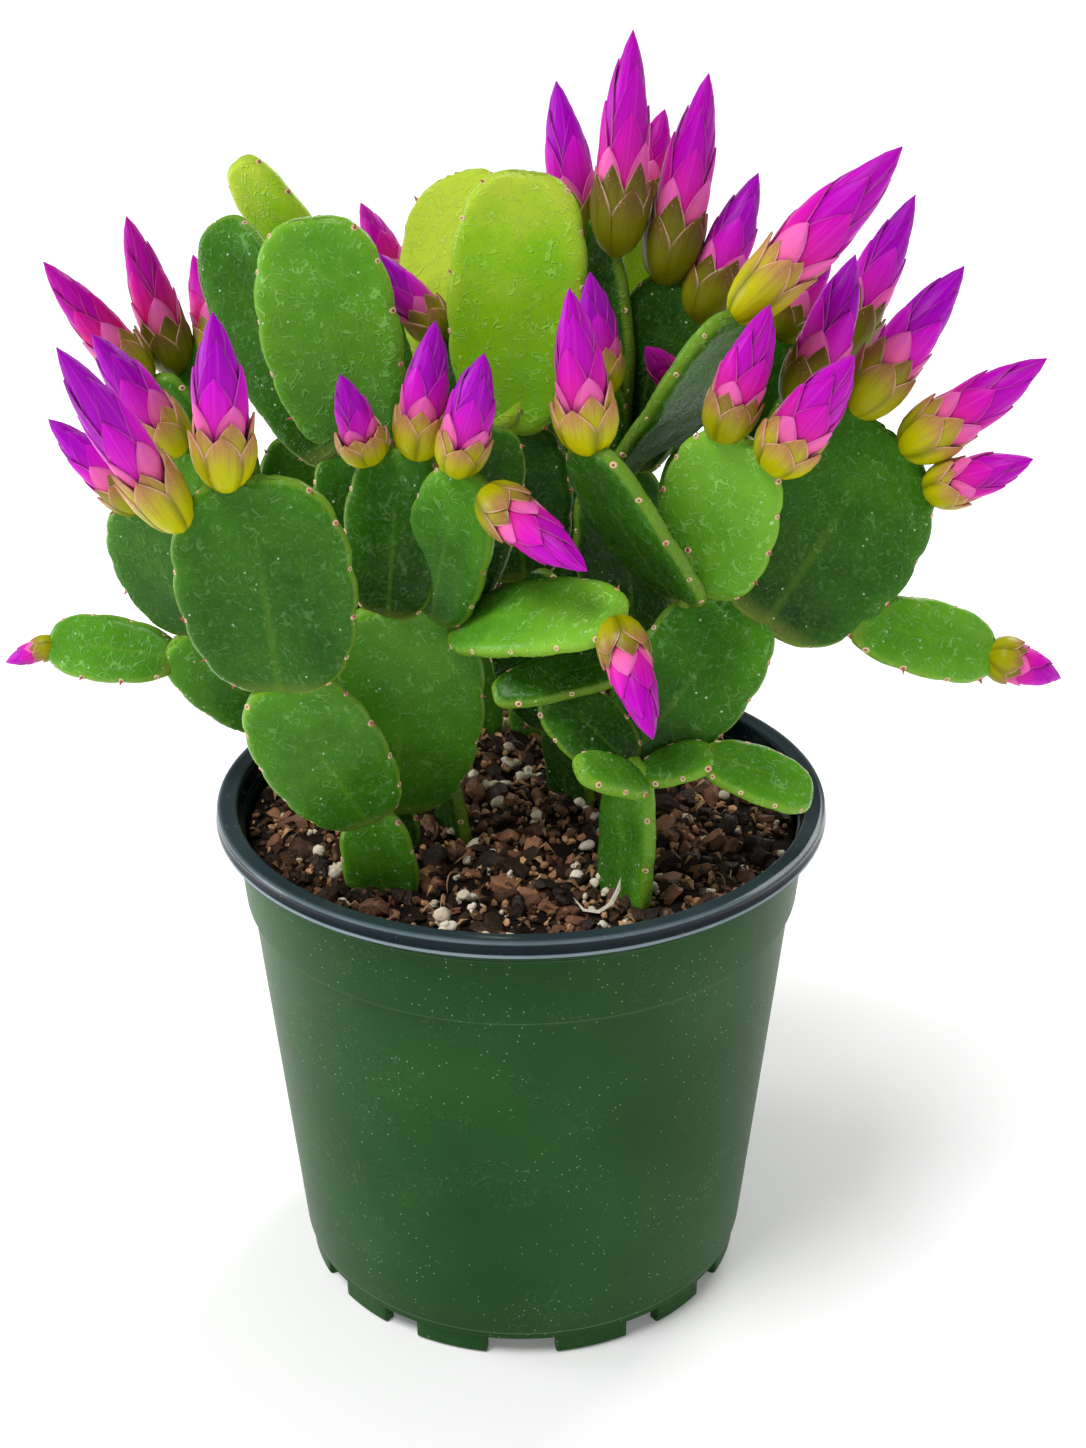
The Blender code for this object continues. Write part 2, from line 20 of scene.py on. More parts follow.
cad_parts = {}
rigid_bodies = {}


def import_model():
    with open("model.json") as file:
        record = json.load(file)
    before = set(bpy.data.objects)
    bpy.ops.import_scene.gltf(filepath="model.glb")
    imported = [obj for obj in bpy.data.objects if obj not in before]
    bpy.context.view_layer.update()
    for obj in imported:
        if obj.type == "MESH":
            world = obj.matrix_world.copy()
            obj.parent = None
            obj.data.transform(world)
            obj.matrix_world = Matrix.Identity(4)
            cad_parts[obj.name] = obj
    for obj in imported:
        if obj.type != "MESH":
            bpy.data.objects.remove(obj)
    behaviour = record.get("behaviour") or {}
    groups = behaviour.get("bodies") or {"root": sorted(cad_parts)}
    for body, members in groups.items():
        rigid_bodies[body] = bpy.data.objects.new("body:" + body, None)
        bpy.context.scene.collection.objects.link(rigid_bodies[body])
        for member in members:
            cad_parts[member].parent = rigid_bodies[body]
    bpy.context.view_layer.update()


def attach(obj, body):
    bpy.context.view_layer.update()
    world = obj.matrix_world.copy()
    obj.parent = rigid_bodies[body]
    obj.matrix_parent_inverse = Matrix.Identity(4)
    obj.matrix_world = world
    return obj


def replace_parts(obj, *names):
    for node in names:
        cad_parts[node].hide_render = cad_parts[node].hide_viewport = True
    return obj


LOG = logging.getLogger("potted_easter_cactus")
MM = 0.001
TENTH = 0.0001
WELD = 0.00001
BODY = "root"

Colour = tuple[float, float, float]
Value = Union["Wire", float]


class Tone(Enum):
    """How light and yellow a pad is painted, from dark old growth to young yellow growth; the
    darkest steps also stand in for painted shade deep in the plant, and LIME and GLOWING for
    painted back light shining through pads.
    """

    # DEEP and SHADED also stand in for painted shade inside the plant.
    DEEP = 0.0
    SHADED = 0.16
    DULL = 0.24
    MID = 0.32
    LEAFY = 0.42
    FRESH = 0.52
    # LIME and GLOWING also stand in for painted back light through the pads.
    LIME = 0.86
    GLOWING = 1.0


class Blush(Enum):
    """How brown a bud's green scales are."""

    YELLOW = 0.0
    TAN = 0.5
    OLIVE = 1.0


class Hue(Enum):
    """How far a bud's petals lean from violet to crimson."""

    VIOLET = 0.0
    MAGENTA = 0.5
    CRIMSON = 1.0


@dataclass(frozen=True)
class Pad:
    """One flat joint of a stem.

    Attributes:
        tip: Where its upper end is, in millimetres.
        width: Its greatest width, in millimetres.
        facing: The direction that its flat face looks in.
        parent: The pad that it grows from, or none for a pad that is rooted in the soil.
        spot: Where on the parent's outline, in degrees from the parent's tip.
        tone: Its shade of green, with painted shade or painted back light in the darkest and
            brightest steps.
    """

    tip: tuple
    width: float
    facing: tuple
    parent: str = ""
    spot: float = 0.0
    tone: Tone = Tone.SHADED


@dataclass(frozen=True)
class Bud:
    """One flower bud.

    Attributes:
        number: Its number in the plant, for its name.
        parent: The pad that it grows from.
        spot: Where on the parent's outline, in degrees from the parent's tip.
        tip: Where the roll of petals ends, in millimetres.
        width: Its greatest width, in millimetres.
        blush: How brown its green scales are.
        hue: The colour that its petals lean to.
        roll: How thick its roll of petals is, against the usual share of its width.
        grip: How narrow it is at its foot, against the usual bud.
    """

    number: int
    parent: str
    spot: float
    tip: tuple
    width: float
    blush: Blush = Blush.YELLOW
    hue: Hue = Hue.VIOLET
    roll: float = 1.0
    grip: float = 1.0


@dataclass(frozen=True)
class Stem:
    """One rooted cutting: where it stands in the soil, its pads and its buds."""

    name: str
    root: tuple
    pads: dict
    buds: tuple = ()


STEMS = (
    Stem("stem_front_left", (-31, -37), {
        "a1": Pad((-35, -43, 149), 18, (0, -1, 0.1), tone=Tone.MID),
        "a2": Pad((-53, -56, 188), 29, (-0.1, -1, 0.3), "a1", tone=Tone.DULL),
        "a3": Pad((-55, -60, 236), 40, (-0.1, -1, 0.1), "a2", tone=Tone.SHADED),
    }, (
        Bud(4, "a3", -50, (-90, -74, 267.5), 15, roll=0.9, grip=0.86),
        Bud(7, "a3", -8, (-61, -60, 271), 16.5, roll=0.88, grip=0.86),
    )),
    Stem("stem_left", (-47, 17), {
        "b1": Pad((-58, 4, 152), 18, (-0.2, -1, 0)),
        "b2": Pad((-84, -4, 176.5), 23, (-0.3, -1, 0.3), "b1", tone=Tone.MID),
        "b3": Pad((-87, -14, 215), 29, (-0.4, -1, 0.1), "b2", 15),
        "b4": Pad((-118, 8, 170), 17, (0, -1, 0.6), "b2", -15, Tone.MID),
        "b5": Pad((-77, -15, 229), 14, (-0.4, -1, 0.1), "b3", 35, Tone.MID),
    }, (
        Bud(5, "b5", 0, (-94, -22, 256.5), 13),
        Bud(6, "b3", 0, (-108, -12, 234), 12, Blush.TAN),
        Bud(32, "b4", 0, (-130, 9, 164), 7, Blush.TAN, Hue.MAGENTA),
    )),
    Stem("stem_middle", (-33, -18), {
        "c1": Pad((-31, -19, 139), 14, (0.1, -1, 0)),
        "c2": Pad((-27, -24, 193), 41, (0.15, -1, 0), "c1", tone=Tone.FRESH),
        "c3": Pad((-26, -24, 231), 24, (-0.1, -1, 0.1), "c2", -3),
        "c4": Pad((-11, -34, 229), 22, (-0.5, -1, 0.1), "c2", 14, Tone.MID),
        "c5": Pad((-5, -14, 233), 20, (0.3, -1, 0), "c2", 22),
        "c6": Pad((23, -54, 202), 21, (0, -0.8, 1), "c2", 28, Tone.FRESH),
    }, (
        Bud(8, "c3", -28, (-39, -28, 249), 12.5, roll=0.86),
        Bud(9, "c3", 8, (-18, -24, 260), 13),
        Bud(10, "c4", -6, (-7, -40, 257), 13.5, grip=0.93),
        Bud(11, "c4", 18, (15, -60, 215), 13, Blush.TAN, Hue.MAGENTA),
        Bud(31, "c6", 0, (29, -74, 182), 12, Blush.TAN, Hue.MAGENTA),
    )),
    Stem("stem_right", (24, -44), {
        "d1": Pad((26, -42, 163), 22, (-1, -0.55, 0), tone=Tone.MID),
        "d2": Pad((7, -36, 177), 17, (-0.2, -1, 0.8), "d1", 0),
        "d3": Pad((13, -60, 168), 12, (0, -0.6, 1), "d1", 25, Tone.MID),
        "d4": Pad((45, -44, 164), 11, (0, -0.5, 1), "d1", 15, Tone.MID),
        "d5": Pad((68, -42, 152), 15, (0, -0.7, 1), "d4", tone=Tone.MID),
        "d6": Pad((53, -25, 195), 30, (0.1, -1, 0.3), "d1", -10, Tone.DULL),
        "d7": Pad((-6, -40, 177), 12, (0, -0.7, 1), "d6", -100),
        "d8": Pad((15, -38, 236), 26, (-0.7, -0.6, -0.4), "d6", -42),
        "d9": Pad((48, -30, 236), 28, (-0.3, -1, 0.1), "d6", -28, Tone.FRESH),
        "d10": Pad((38, -12, 227), 16, (-0.9, -0.5, 0), "d6", -52),
        "d11": Pad((85, -6, 230), 50, (0.2, -1, 0.1), "d6", 14, Tone.SHADED),
        "d12": Pad((114, -12, 175), 19, (0.1, -1, 0.6), "d11", 126, Tone.LEAFY),
    }, (
        Bud(12, "d8", 0, (11, -40, 271), 15, hue=Hue.MAGENTA, roll=0.92),
        Bud(24, "d11", -50, (76, -4, 270), 15, Blush.OLIVE),
        Bud(25, "d9", -6, (54, -34, 266), 14, Blush.TAN, Hue.MAGENTA, grip=0.93),
        Bud(26, "d9", 36, (71, -45, 258), 15.5, hue=Hue.MAGENTA),
        Bud(27, "d11", -12, (102, 2, 266), 15.5, Blush.TAN),
        Bud(28, "d11", 7, (120, -11, 248), 15, hue=Hue.MAGENTA),
        Bud(29, "d11", 34, (117, -20, 227), 12.5, hue=Hue.MAGENTA),
        Bud(30, "d12", 0, (131, -12, 169), 12, Blush.TAN, Hue.MAGENTA),
    )),
    Stem("stem_centre", (16, 7), {
        "e1": Pad((9, 5, 150), 15, (-0.8, -0.8, 0)),
        "e2": Pad((0, 8, 190), 26, (-0.3, -1, 0), "e1"),
        "e3": Pad((-3, 10, 227), 28, (0.2, -1, 0), "e2"),
        "e4": Pad((2, 9, 286), 33, (-0.2, -1, 0), "e3", tone=Tone.LIME),
        "e5": Pad((-16, 46, 278), 36, (-0.4, -1, 0), "e3", -10, Tone.GLOWING),
        "e6": Pad((-18, 20, 246), 14, (0, -1, 0), "e3", -30),
    }, (Bud(14, "e6", 0, (-37, 13, 268), 12, Blush.TAN),)),
    Stem("stem_inner_right", (32, 32), {
        "f1": Pad((28, 20, 166), 24, (0.2, -1, 0)),
        "f2": Pad((22, 5, 218), 26, (0.3, -1, 0), "f1"),
        "f3": Pad((48, -20, 261), 27, (0.6, -0.65, -0.5), "f2", 5, Tone.SHADED),
        "f4": Pad((35.8, 12, 261), 22, (-0.3, -1, 0.2), "f2", 12, Tone.DEEP),
        "f5": Pad((17, 15, 274), 18, (0.8, 0.6, 0), "f2", -5, Tone.DEEP),
        "f6": Pad((20, -5, 240), 13, (0, -1, 0.1), "f2", -15),
    }, (
        Bud(13, "f6", 0, (16, -8, 267), 12),
        Bud(16, "f5", 38, (8.5, 23, 304), 14, Blush.OLIVE),
        Bud(17, "f5", -38, (25.5, 9, 317), 14.5, Blush.OLIVE, Hue.MAGENTA),
        Bud(19, "f4", -3, (43, 14, 307), 15, Blush.OLIVE, Hue.MAGENTA),
        Bud(20, "f4", 46, (55.5, 18, 284), 14, Blush.OLIVE),
        Bud(21, "f3", 0, (82, -22, 297), 17.5, Blush.YELLOW, Hue.MAGENTA, grip=0.78),
        Bud(33, "f4", 95, (29, -5, 249), 9, Blush.TAN, Hue.CRIMSON),
    )),
    Stem("stem_inner_left", (-14, -12), {
        "g1": Pad((-21, -8, 148), 14, (-0.8, -0.5, 0)),
        "g2": Pad((-31, -2, 188), 26, (-0.2, -1, 0), "g1"),
        "g3": Pad((-39, 4, 224), 28, (-0.1, -1, 0), "g2"),
        "g4": Pad((-47, 2, 277), 35, (-0.3, -1, 0.3), "g3", tone=Tone.LEAFY),
        "g5": Pad((-72, 26, 271), 24, (-0.5, -1, 0.2), "g3", -20, Tone.SHADED),
    }),
    Stem("stem_back_left", (-40, 38), {
        "h1": Pad((-57, 38, 160), 20, (-0.3, -1, 0)),
        "h2": Pad((-76, 34, 200), 24, (-0.3, -1, 0), "h1"),
        "h3": Pad((-90, 28, 233), 18, (-0.3, -1, 0.2), "h2", -14),
        "h4": Pad((-82, 38, 239), 18, (-0.3, -1, 0), "h2", 15),
        "h5": Pad((-58, 48, 212), 27, (0.1, -1, 0), "h1", 20),
        "h6": Pad((-45, 46, 253), 24, (0, -1, 0), "h5", tone=Tone.SHADED),
        "h7": Pad((-70, 50, 281), 15, (-0.5, -1, 0.3), "h6", tone=Tone.LIME),
        "h8": Pad((-74, 60, 196), 26, (-0.5, 1, 0.2), "h1", 35, Tone.MID),
    }, (
        Bud(1, "h3", -10, (-114, 24, 262), 13, Blush.TAN, Hue.CRIMSON),
        Bud(2, "h4", -40, (-95, 33, 271), 13.5, Blush.OLIVE, Hue.CRIMSON),
        Bud(3, "h4", 45, (-83, 54, 257), 11, Blush.TAN, Hue.CRIMSON),
        Bud(35, "h8", 0, (-94, 68, 216), 13, hue=Hue.CRIMSON),
    )),
    Stem("stem_back", (-16, 46), {
        "i1": Pad((-22, 52, 160), 27, (0, 1, 0), tone=Tone.MID),
        "i2": Pad((-34, 56, 205), 32, (0.1, 1, 0), "i1"),
        "i3": Pad((-29, 58, 245), 26, (-0.2, 1, 0), "i2", tone=Tone.MID),
        "i4": Pad((-54, 66, 236), 26, (-0.3, 1, 0.2), "i2", 25, Tone.FRESH),
        "i5": Pad((-26, 68, 190), 28, (0, 1, 0.3), "i1", 20, Tone.MID),
    }, (
        Bud(15, "i3", 0, (-41, 64, 268), 12, hue=Hue.CRIMSON),
        Bud(36, "i4", 0, (-58, 74, 258), 12),
        Bud(37, "i5", 0, (-36, 74, 216), 13, Blush.TAN),
    )),
    Stem("stem_back_centre", (10, 44), {
        "j1": Pad((8, 50, 160), 27, (0, 1, 0), tone=Tone.MID),
        "j2": Pad((18, 50, 205), 28, (0, 1, 0), "j1"),
        "j3": Pad((24, 44, 238), 22, (0, 1, 0), "j2"),
        "j4": Pad((29, 40, 272), 20, (0, 1, 0), "j3", tone=Tone.LIME),
        "j5": Pad((8, 64, 242), 30, (0.1, 1, 0.2), "j2", 20, Tone.MID),
        "j6": Pad((2, 68, 192), 27, (0, 1, 0.3), "j1", 20, Tone.FRESH),
        "j7": Pad((46, 36, 257), 20, (0.2, 1, 0), "j3", -20, Tone.LIME),
    }, (
        Bud(18, "j4", 0, (35, 46, 294), 12, Blush.OLIVE, Hue.CRIMSON),
        Bud(34, "j7", 0, (58, 42, 268), 11, Blush.OLIVE, Hue.MAGENTA),
        Bud(38, "j5", 0, (6, 74, 267), 13, hue=Hue.MAGENTA),
        Bud(39, "j6", 0, (-2, 75, 219), 12, Blush.TAN),
    )),
    Stem("stem_back_right", (47, 46), {
        "k1": Pad((48, 43, 142), 12, (-0.8, -0.5, 0)),
        "k2": Pad((56, 44, 188), 24, (0.2, -1, 0), "k1"),
        "k3": Pad((65, 42, 240), 26, (0.2, -1, 0), "k2", -5),
        "k4": Pad((77, 24, 240), 24, (0.3, -1, 0), "k2", 15),
        "k5": Pad((86, 54, 190), 26, (0.4, 1, 0.2), "k2", 50, Tone.MID),
        "k6": Pad((55, 62, 207), 28, (0.1, 1, 0.2), "k2", -20, Tone.MID),
    }, (
        Bud(22, "k4", 0, (94, 28, 277), 14, Blush.OLIVE),
        Bud(23, "k3", 0, (77, 46, 262), 12, Blush.OLIVE, Hue.MAGENTA),
        Bud(40, "k5", 0, (108, 62, 206), 12, hue=Hue.MAGENTA),
        Bud(41, "k6", 0, (63, 74, 233), 13, Blush.TAN, Hue.MAGENTA),
    )),
)


class Wire:
    """A shader socket that values can be added to, multiplied by and so on."""

    def __init__(self, graph: "Graph", socket: bpy.types.NodeSocket) -> None:
        """Hold a socket of a graph."""
        self.graph = graph
        self.socket = socket

    def _math(self, operation: str, *values: Value) -> "Wire":
        """Add one Math node.

        Args:
            operation: The node's operation.
            values: Its inputs, in order.

        Returns:
            The node's output.
        """
        sockets = dict(enumerate(values))
        return self.graph.node("ShaderNodeMath", {"operation": operation}, sockets)

    def __add__(self, other: Value) -> "Wire":
        """Add."""
        return self._math("ADD", self, other)

    __radd__ = __add__

    def __sub__(self, other: Value) -> "Wire":
        """Subtract."""
        return self._math("SUBTRACT", self, other)

    def __rsub__(self, other: Value) -> "Wire":
        """Subtract from a number."""
        return self._math("SUBTRACT", other, self)

    def __mul__(self, other: Value) -> "Wire":
        """Multiply."""
        return self._math("MULTIPLY", self, other)

    __rmul__ = __mul__

    def __abs__(self) -> "Wire":
        """Drop the sign."""
        return self._math("ABSOLUTE", self)

    def step(self, low: float, high: float) -> "Wire":
        """Go smoothly from 0 at one value to 1 at another."""
        return self.graph.node(
            "ShaderNodeMapRange",
            {"interpolation_type": "SMOOTHSTEP"},
            {"Value": self, "From Min": low, "From Max": high},
        )


class Graph:
    """The node tree of one Principled material."""

    def __init__(self, name: str) -> None:
        """Start a material with its shader."""
        self.material = bpy.data.materials.new(name)
        self.material.use_nodes = True
        self.tree = self.material.node_tree
        self.shader = self.tree.nodes["Principled BSDF"]

    def node(
        self,
        kind: str,
        settings: dict | None = None,
        sockets: dict | None = None,
        output: int | str = 0,
    ) -> Wire:
        """Add a node.

        Args:
            kind: The node's type.
            settings: Its properties, set first; "stops" sets a ramp's (place, colour) pairs.
            sockets: A value or a wire for each of its inputs, by name or number.
            output: The output that is wanted.

        Returns:
            That output.
        """
        made = self.tree.nodes.new(kind)
        for key, value in (settings or {}).items():
            if key == "stops":
                ramp = made.color_ramp
                while len(ramp.elements) < len(value):
                    ramp.elements.new(1.0)
                for element, (place, colour) in zip(ramp.elements, value):
                    element.position = place
                    element.color = (*colour, 1.0)
            else:
                setattr(made, key, value)
        for key, value in (sockets or {}).items():
            self.feed(made.inputs[key], value)
        return Wire(self, made.outputs[output])

    def feed(self, socket: bpy.types.NodeSocket, value: Value | Colour) -> None:
        """Link a wire to a socket, or set the socket to a number or a colour."""
        if isinstance(value, Wire):
            self.tree.links.new(value.socket, socket)
        elif isinstance(value, tuple) and len(socket.default_value) == 4:
            socket.default_value = (*value, 1.0)
        else:
            socket.default_value = value

    def finish(self, **sockets: Value | Colour) -> bpy.types.Material:
        """Feed the shader.

        Args:
            sockets: A value or a wire for each shader input, with _ for the spaces in its name.

        Returns:
            The finished material.
        """
        for name, value in sockets.items():
            self.feed(self.shader.inputs[name.replace("_", " ")], value)
        return self.material

    def place(self) -> Wire:
        """Give the point on the surface, in metres."""
        return self.node("ShaderNodeTexCoord", output="Object")

    def attribute(self, name: str) -> Wire:
        """Give a number that is stored on the piece's points."""
        return self.node("ShaderNodeAttribute", {"attribute_name": name}, output="Fac")

    def noise(self, where: Wire, scale: float, detail: float = 2.0, bend: float = 0.0) -> Wire:
        """Give smooth noise from 0 to 1 with so many features a metre."""
        return self.node(
            "ShaderNodeTexNoise",
            None,
            {"Vector": where, "Scale": scale, "Detail": detail, "Distortion": bend},
        )

    def dots(self, where: Wire, scale: float, size: float) -> Wire:
        """Give scattered dots, 1 inside a dot and 0 outside."""
        cells = self.node("ShaderNodeTexVoronoi", None, {"Vector": where, "Scale": scale})
        return 1.0 - cells.step(size * 0.6, size)

    def mix(self, factor: Value, low: Wire | Colour, high: Wire | Colour) -> Wire:
        """Blend two colours."""
        return self.node(
            "ShaderNodeMix", {"data_type": "RGBA"}, {0: factor, 6: low, 7: high}, output=2
        )

    def stretched(self, x: Value, y: Value, z: Value) -> Wire:
        """Make a point of three numbers."""
        return self.node("ShaderNodeCombineXYZ", None, {0: x, 1: y, 2: z})

    def bump(self, height: Wire, depth: float, strength: float = 1.0) -> Wire:
        """Give the normal of a surface that is raised by a height from 0 to 1."""
        return self.node(
            "ShaderNodeBump", None, {"Height": height, "Distance": depth, "Strength": strength}
        )

    def height(self, at: Wire) -> Wire:
        """Give how high a point is above the ground."""
        return self.node("ShaderNodeSeparateXYZ", None, {0: at}, output="Z")

    def reach(self, at: Wire) -> Wire:
        """Give how far a point is from the pot's axis."""
        kind = "ShaderNodeVectorMath"
        flat = self.node(kind, {"operation": "MULTIPLY"}, {0: at, 1: (1.0, 1.0, 0.0)})
        return self.node(kind, {"operation": "LENGTH"}, {0: flat}, output="Value")

    def retint(self, colour: Wire, **sockets: Value) -> Wire:
        """Change a colour's hue, saturation or value."""
        return self.node("ShaderNodeHueSaturation", None, {"Color": colour, **sockets})

    def coat(self, skin: Wire, *coats: tuple) -> Wire:
        """Lay coats over a skin, each with its amount and its colour."""
        for amount, colour in coats:
            skin = self.mix(amount, skin, colour)
        return skin


@dataclass(frozen=True)
class PadSkin:
    """Waxy green skin: lighter rounded margins, partly their own paler green and partly painted
    highlight, curly pale marks and small white specks.
    """

    # The tone ramp; its dark end also serves as painted shade and its yellow top as painted back
    # light.
    shades: tuple = (
        (0.0, (0.008, 0.042, 0.001)),
        (0.22, (0.032, 0.138, 0.004)),
        (0.42, (0.08, 0.27, 0.01)),
        (0.62, (0.165, 0.42, 0.024)),
        (0.84, (0.235, 0.53, 0.004)),
        (1.0, (0.45, 0.59, 0.04)),
    )
    # Lighter margin green: partly the skin's own, partly painted highlight; the midrib uses it too.
    margin: Colour = (0.3, 0.48, 0.04)
    joint: Colour = (0.2, 0.23, 0.035)
    mark: Colour = (0.21, 0.4, 0.11)
    speck: Colour = (0.62, 0.7, 0.52)

    def curls(self, g: Graph, at: Wire, scale: float, wide: float, cover: float) -> Wire:
        """Give thin curly strokes.

        Args:
            g: The material's graph.
            at: The point on the surface.
            scale: Bends a metre.
            wide: The strokes' width, in parts of the noise's height.
            cover: How much of the skin is left without strokes.

        Returns:
            1 on a stroke and 0 beside it.
        """
        line = 1.0 - abs(g.noise(at, scale, 0.0, 1.3) - 0.5).step(wide * 0.35, wide)
        return line * g.noise(at, scale * 1.3, 0.0).step(cover, cover + 0.05)

    def material(self) -> bpy.types.Material:
        """Make the material."""
        g = Graph("pad_skin")
        at = g.place()
        edge, along, tone = (g.attribute(name) for name in ("edge", "along", "tone"))
        patches = g.noise(at, 60.0, 3.0)
        blotches = g.noise(at, 260.0)
        mottle = g.noise(at, 1100.0, 3.0)
        shade = tone + (patches - 0.5) * 0.3 + (blotches - 0.5) * 0.12
        # Lighter towards the margin, partly painted highlight, and towards the tip, where growth is
        # younger.
        shade = shade + (1.0 - edge.step(0.0, 0.7)) * 0.06 + (along - 0.5) * 0.14
        skin = g.node("ShaderNodeValToRGB", {"stops": self.shades}, {0: shade})
        skin = g.mix(mottle.step(0.42, 0.85) * 0.14, skin, self.mark)
        coarse = self.curls(g, at, 270.0, 0.044, 0.42)
        fine = self.curls(g, at, 430.0, 0.052, 0.46)
        marks = g.node("ShaderNodeMath", {"operation": "MAXIMUM"}, {0: coarse, 1: fine * 0.7})
        specks = g.dots(at, 330.0, 0.11) * g.noise(at, 70.0, 0.0).step(0.48, 0.56)
        rib = 1.0 - abs(g.attribute("across")).step(0.01, 0.07)
        skin = g.coat(
            skin,
            (marks * (0.62 - 0.5 * tone), g.retint(skin, Saturation=0.8, Value=2.0)),
            (specks * 0.75, self.speck),
            (rib * (1.0 - along.step(0.35, 0.9)) * 0.1, self.margin),
            # The lighter margin band: partly the skin's own paler edge, partly painted highlight.
            ((1.0 - edge.step(0.04, 0.125)) * 0.36, self.margin),
            ((1.0 - along.step(0.02, 0.1)) * 0.4, self.joint),
        )
        return g.finish(
            Base_Color=skin,
            Roughness=0.2 + 0.14 * patches,
            Normal=g.bump(mottle * 0.18 + marks * 0.9 + blotches * 0.5, 0.0004, 0.7),
            Specular_IOR_Level=0.11,
            Subsurface_Weight=0.05,
            Subsurface_Radius=(0.35, 1.0, 0.12),
            Subsurface_Scale=0.0015,
        )


@dataclass(frozen=True)
class ScaleSkin:
    """Fleshy bud scales: yellow green at the foot, blushed pink brown towards their tips, with
    painted shade along their sides.
    """

    foot: Colour = (0.5, 0.48, 0.001)
    # Painted shade at the scales' sides; the darker streaks use it too.
    shade: Colour = (0.15, 0.15, 0.001)
    tip: Colour = (0.45, 0.15, 0.105)
    olive_foot: Colour = (0.15, 0.155, 0.002)
    olive_tip: Colour = (0.11, 0.045, 0.014)
    border: Colour = (0.78, 0.44, 0.36)

    def material(self) -> bpy.types.Material:
        """Make the material."""
        g = Graph("scale_skin")
        at = g.place()
        along, across, brown = (g.attribute(name) for name in ("along", "across", "tone"))
        cloud = g.noise(at, 300.0)
        streak = g.noise(g.stretched(across * 9.0, along * 1.6, brown * 9.0), 1.0, 3.0)
        tip = g.mix(brown.step(0.1, 1.0), self.tip, self.olive_tip)
        reach = along + (cloud - 0.5) * 0.2 + (streak - 0.5) * 0.5
        border = g.attribute("edge").step(0.84, 0.98) * along.step(0.5, 0.8)
        dots = g.dots(at, 900.0, 0.2) * along.step(0.55, 0.9)
        skin = g.coat(
            g.mix(brown, self.foot, self.olive_foot),
            # Painted shade towards each scale's sides.
            (abs(across).step(0.45, 1.0) * 0.75, self.shade),
            (reach.step(0.42, 0.95) * 0.8, tip),
            (streak.step(0.5, 0.75) * 0.25, self.shade),
            (border * 0.75, self.border),
            (dots * 0.4, self.border),
        )
        return g.finish(
            Base_Color=skin,
            Roughness=0.22 + 0.16 * cloud,
            Normal=g.bump(streak * 0.7 + cloud * 0.3, 0.00025, 0.5),
            Specular_IOR_Level=0.13,
            Subsurface_Weight=0.06,
            Subsurface_Radius=(1.0, 0.8, 0.15),
            Subsurface_Scale=0.0012,
        )


@dataclass(frozen=True)
class PetalSkin:
    """Satin petals: salmon pink outside, then hot pink, then violet at the rolled heart, with
    painted shade in the creases and at the blades' feet and pale streaks that are partly painted
    sheen.
    """

    outer_foot: Colour = (0.85, 0.14, 0.3)
    outer_tip: Colour = (0.8, 0.13, 0.47)
    middle_foot: Colour = (0.68, 0.018, 0.4)
    middle_tip: Colour = (0.59, 0.003, 0.56)
    heart_foot: Colour = (0.48, 0.001, 0.44)
    heart_tip: Colour = (0.35, 0.001, 0.46)
    # Pale streak colour: partly the petals' own streaks, partly painted satin sheen.
    pale_streak_and_sheen: Colour = (0.8, 0.05, 0.74)
    border: Colour = (0.8, 0.24, 0.62)
    # Painted shade along the blades' edges and at their covered feet.
    painted_crease_shade: Colour = (0.18, 0.001, 0.14)

    def material(self) -> bpy.types.Material:
        """Make the material."""
        g = Graph("petal_skin")
        along, across, layer = (g.attribute(name) for name in ("along", "across", "tone"))
        edge = g.attribute("edge")
        cloud = g.noise(g.place(), 160.0)
        outer = g.mix(along.step(0.2, 1.0), self.outer_foot, self.outer_tip)
        middle = g.mix(along.step(0.2, 0.9), self.middle_foot, self.middle_tip)
        heart = g.mix(along.step(0.2, 0.85), self.heart_foot, self.heart_tip)
        depth = layer + (cloud - 0.5) * 0.14
        veins = g.noise(g.stretched(across * 13.0, along * 1.1, layer * 17.0), 1.0, 3.0)
        spine = (1.0 - abs(across).step(0.0, 0.1)) * along.step(0.25, 0.6)
        skin = g.coat(
            g.mix(depth.step(0.08, 0.42), outer, middle),
            (depth.step(0.46, 0.8), heart),
            # Pale streaks along the veins and the blades' middles: partly the petals' own streaks,
            # partly painted satin sheen.
            (veins.step(0.48, 0.8) * 0.24, self.pale_streak_and_sheen),
            (spine * 0.22, self.pale_streak_and_sheen),
            # Painted shade along the blades' edges and at their feet, under the blades that overlap
            # them.
            (edge.step(0.55, 0.95) * 0.26, self.painted_crease_shade),
            ((1.0 - along.step(0.3, 0.6)) * 0.24, self.painted_crease_shade),
            (edge.step(0.93, 0.99) * 0.3, self.border),
        )
        turn = 0.5 + 0.075 * g.attribute("hue") * depth.step(0.0, 0.5)
        return g.finish(
            Base_Color=g.retint(skin, Hue=turn),
            Roughness=0.24 + 0.16 * veins,
            Normal=g.bump(veins, 0.00025, 0.5),
            Specular_IOR_Level=0.075,
            Subsurface_Weight=0.06,
            Subsurface_Radius=(1.0, 0.25, 0.7),
            Subsurface_Scale=0.0012,
        )


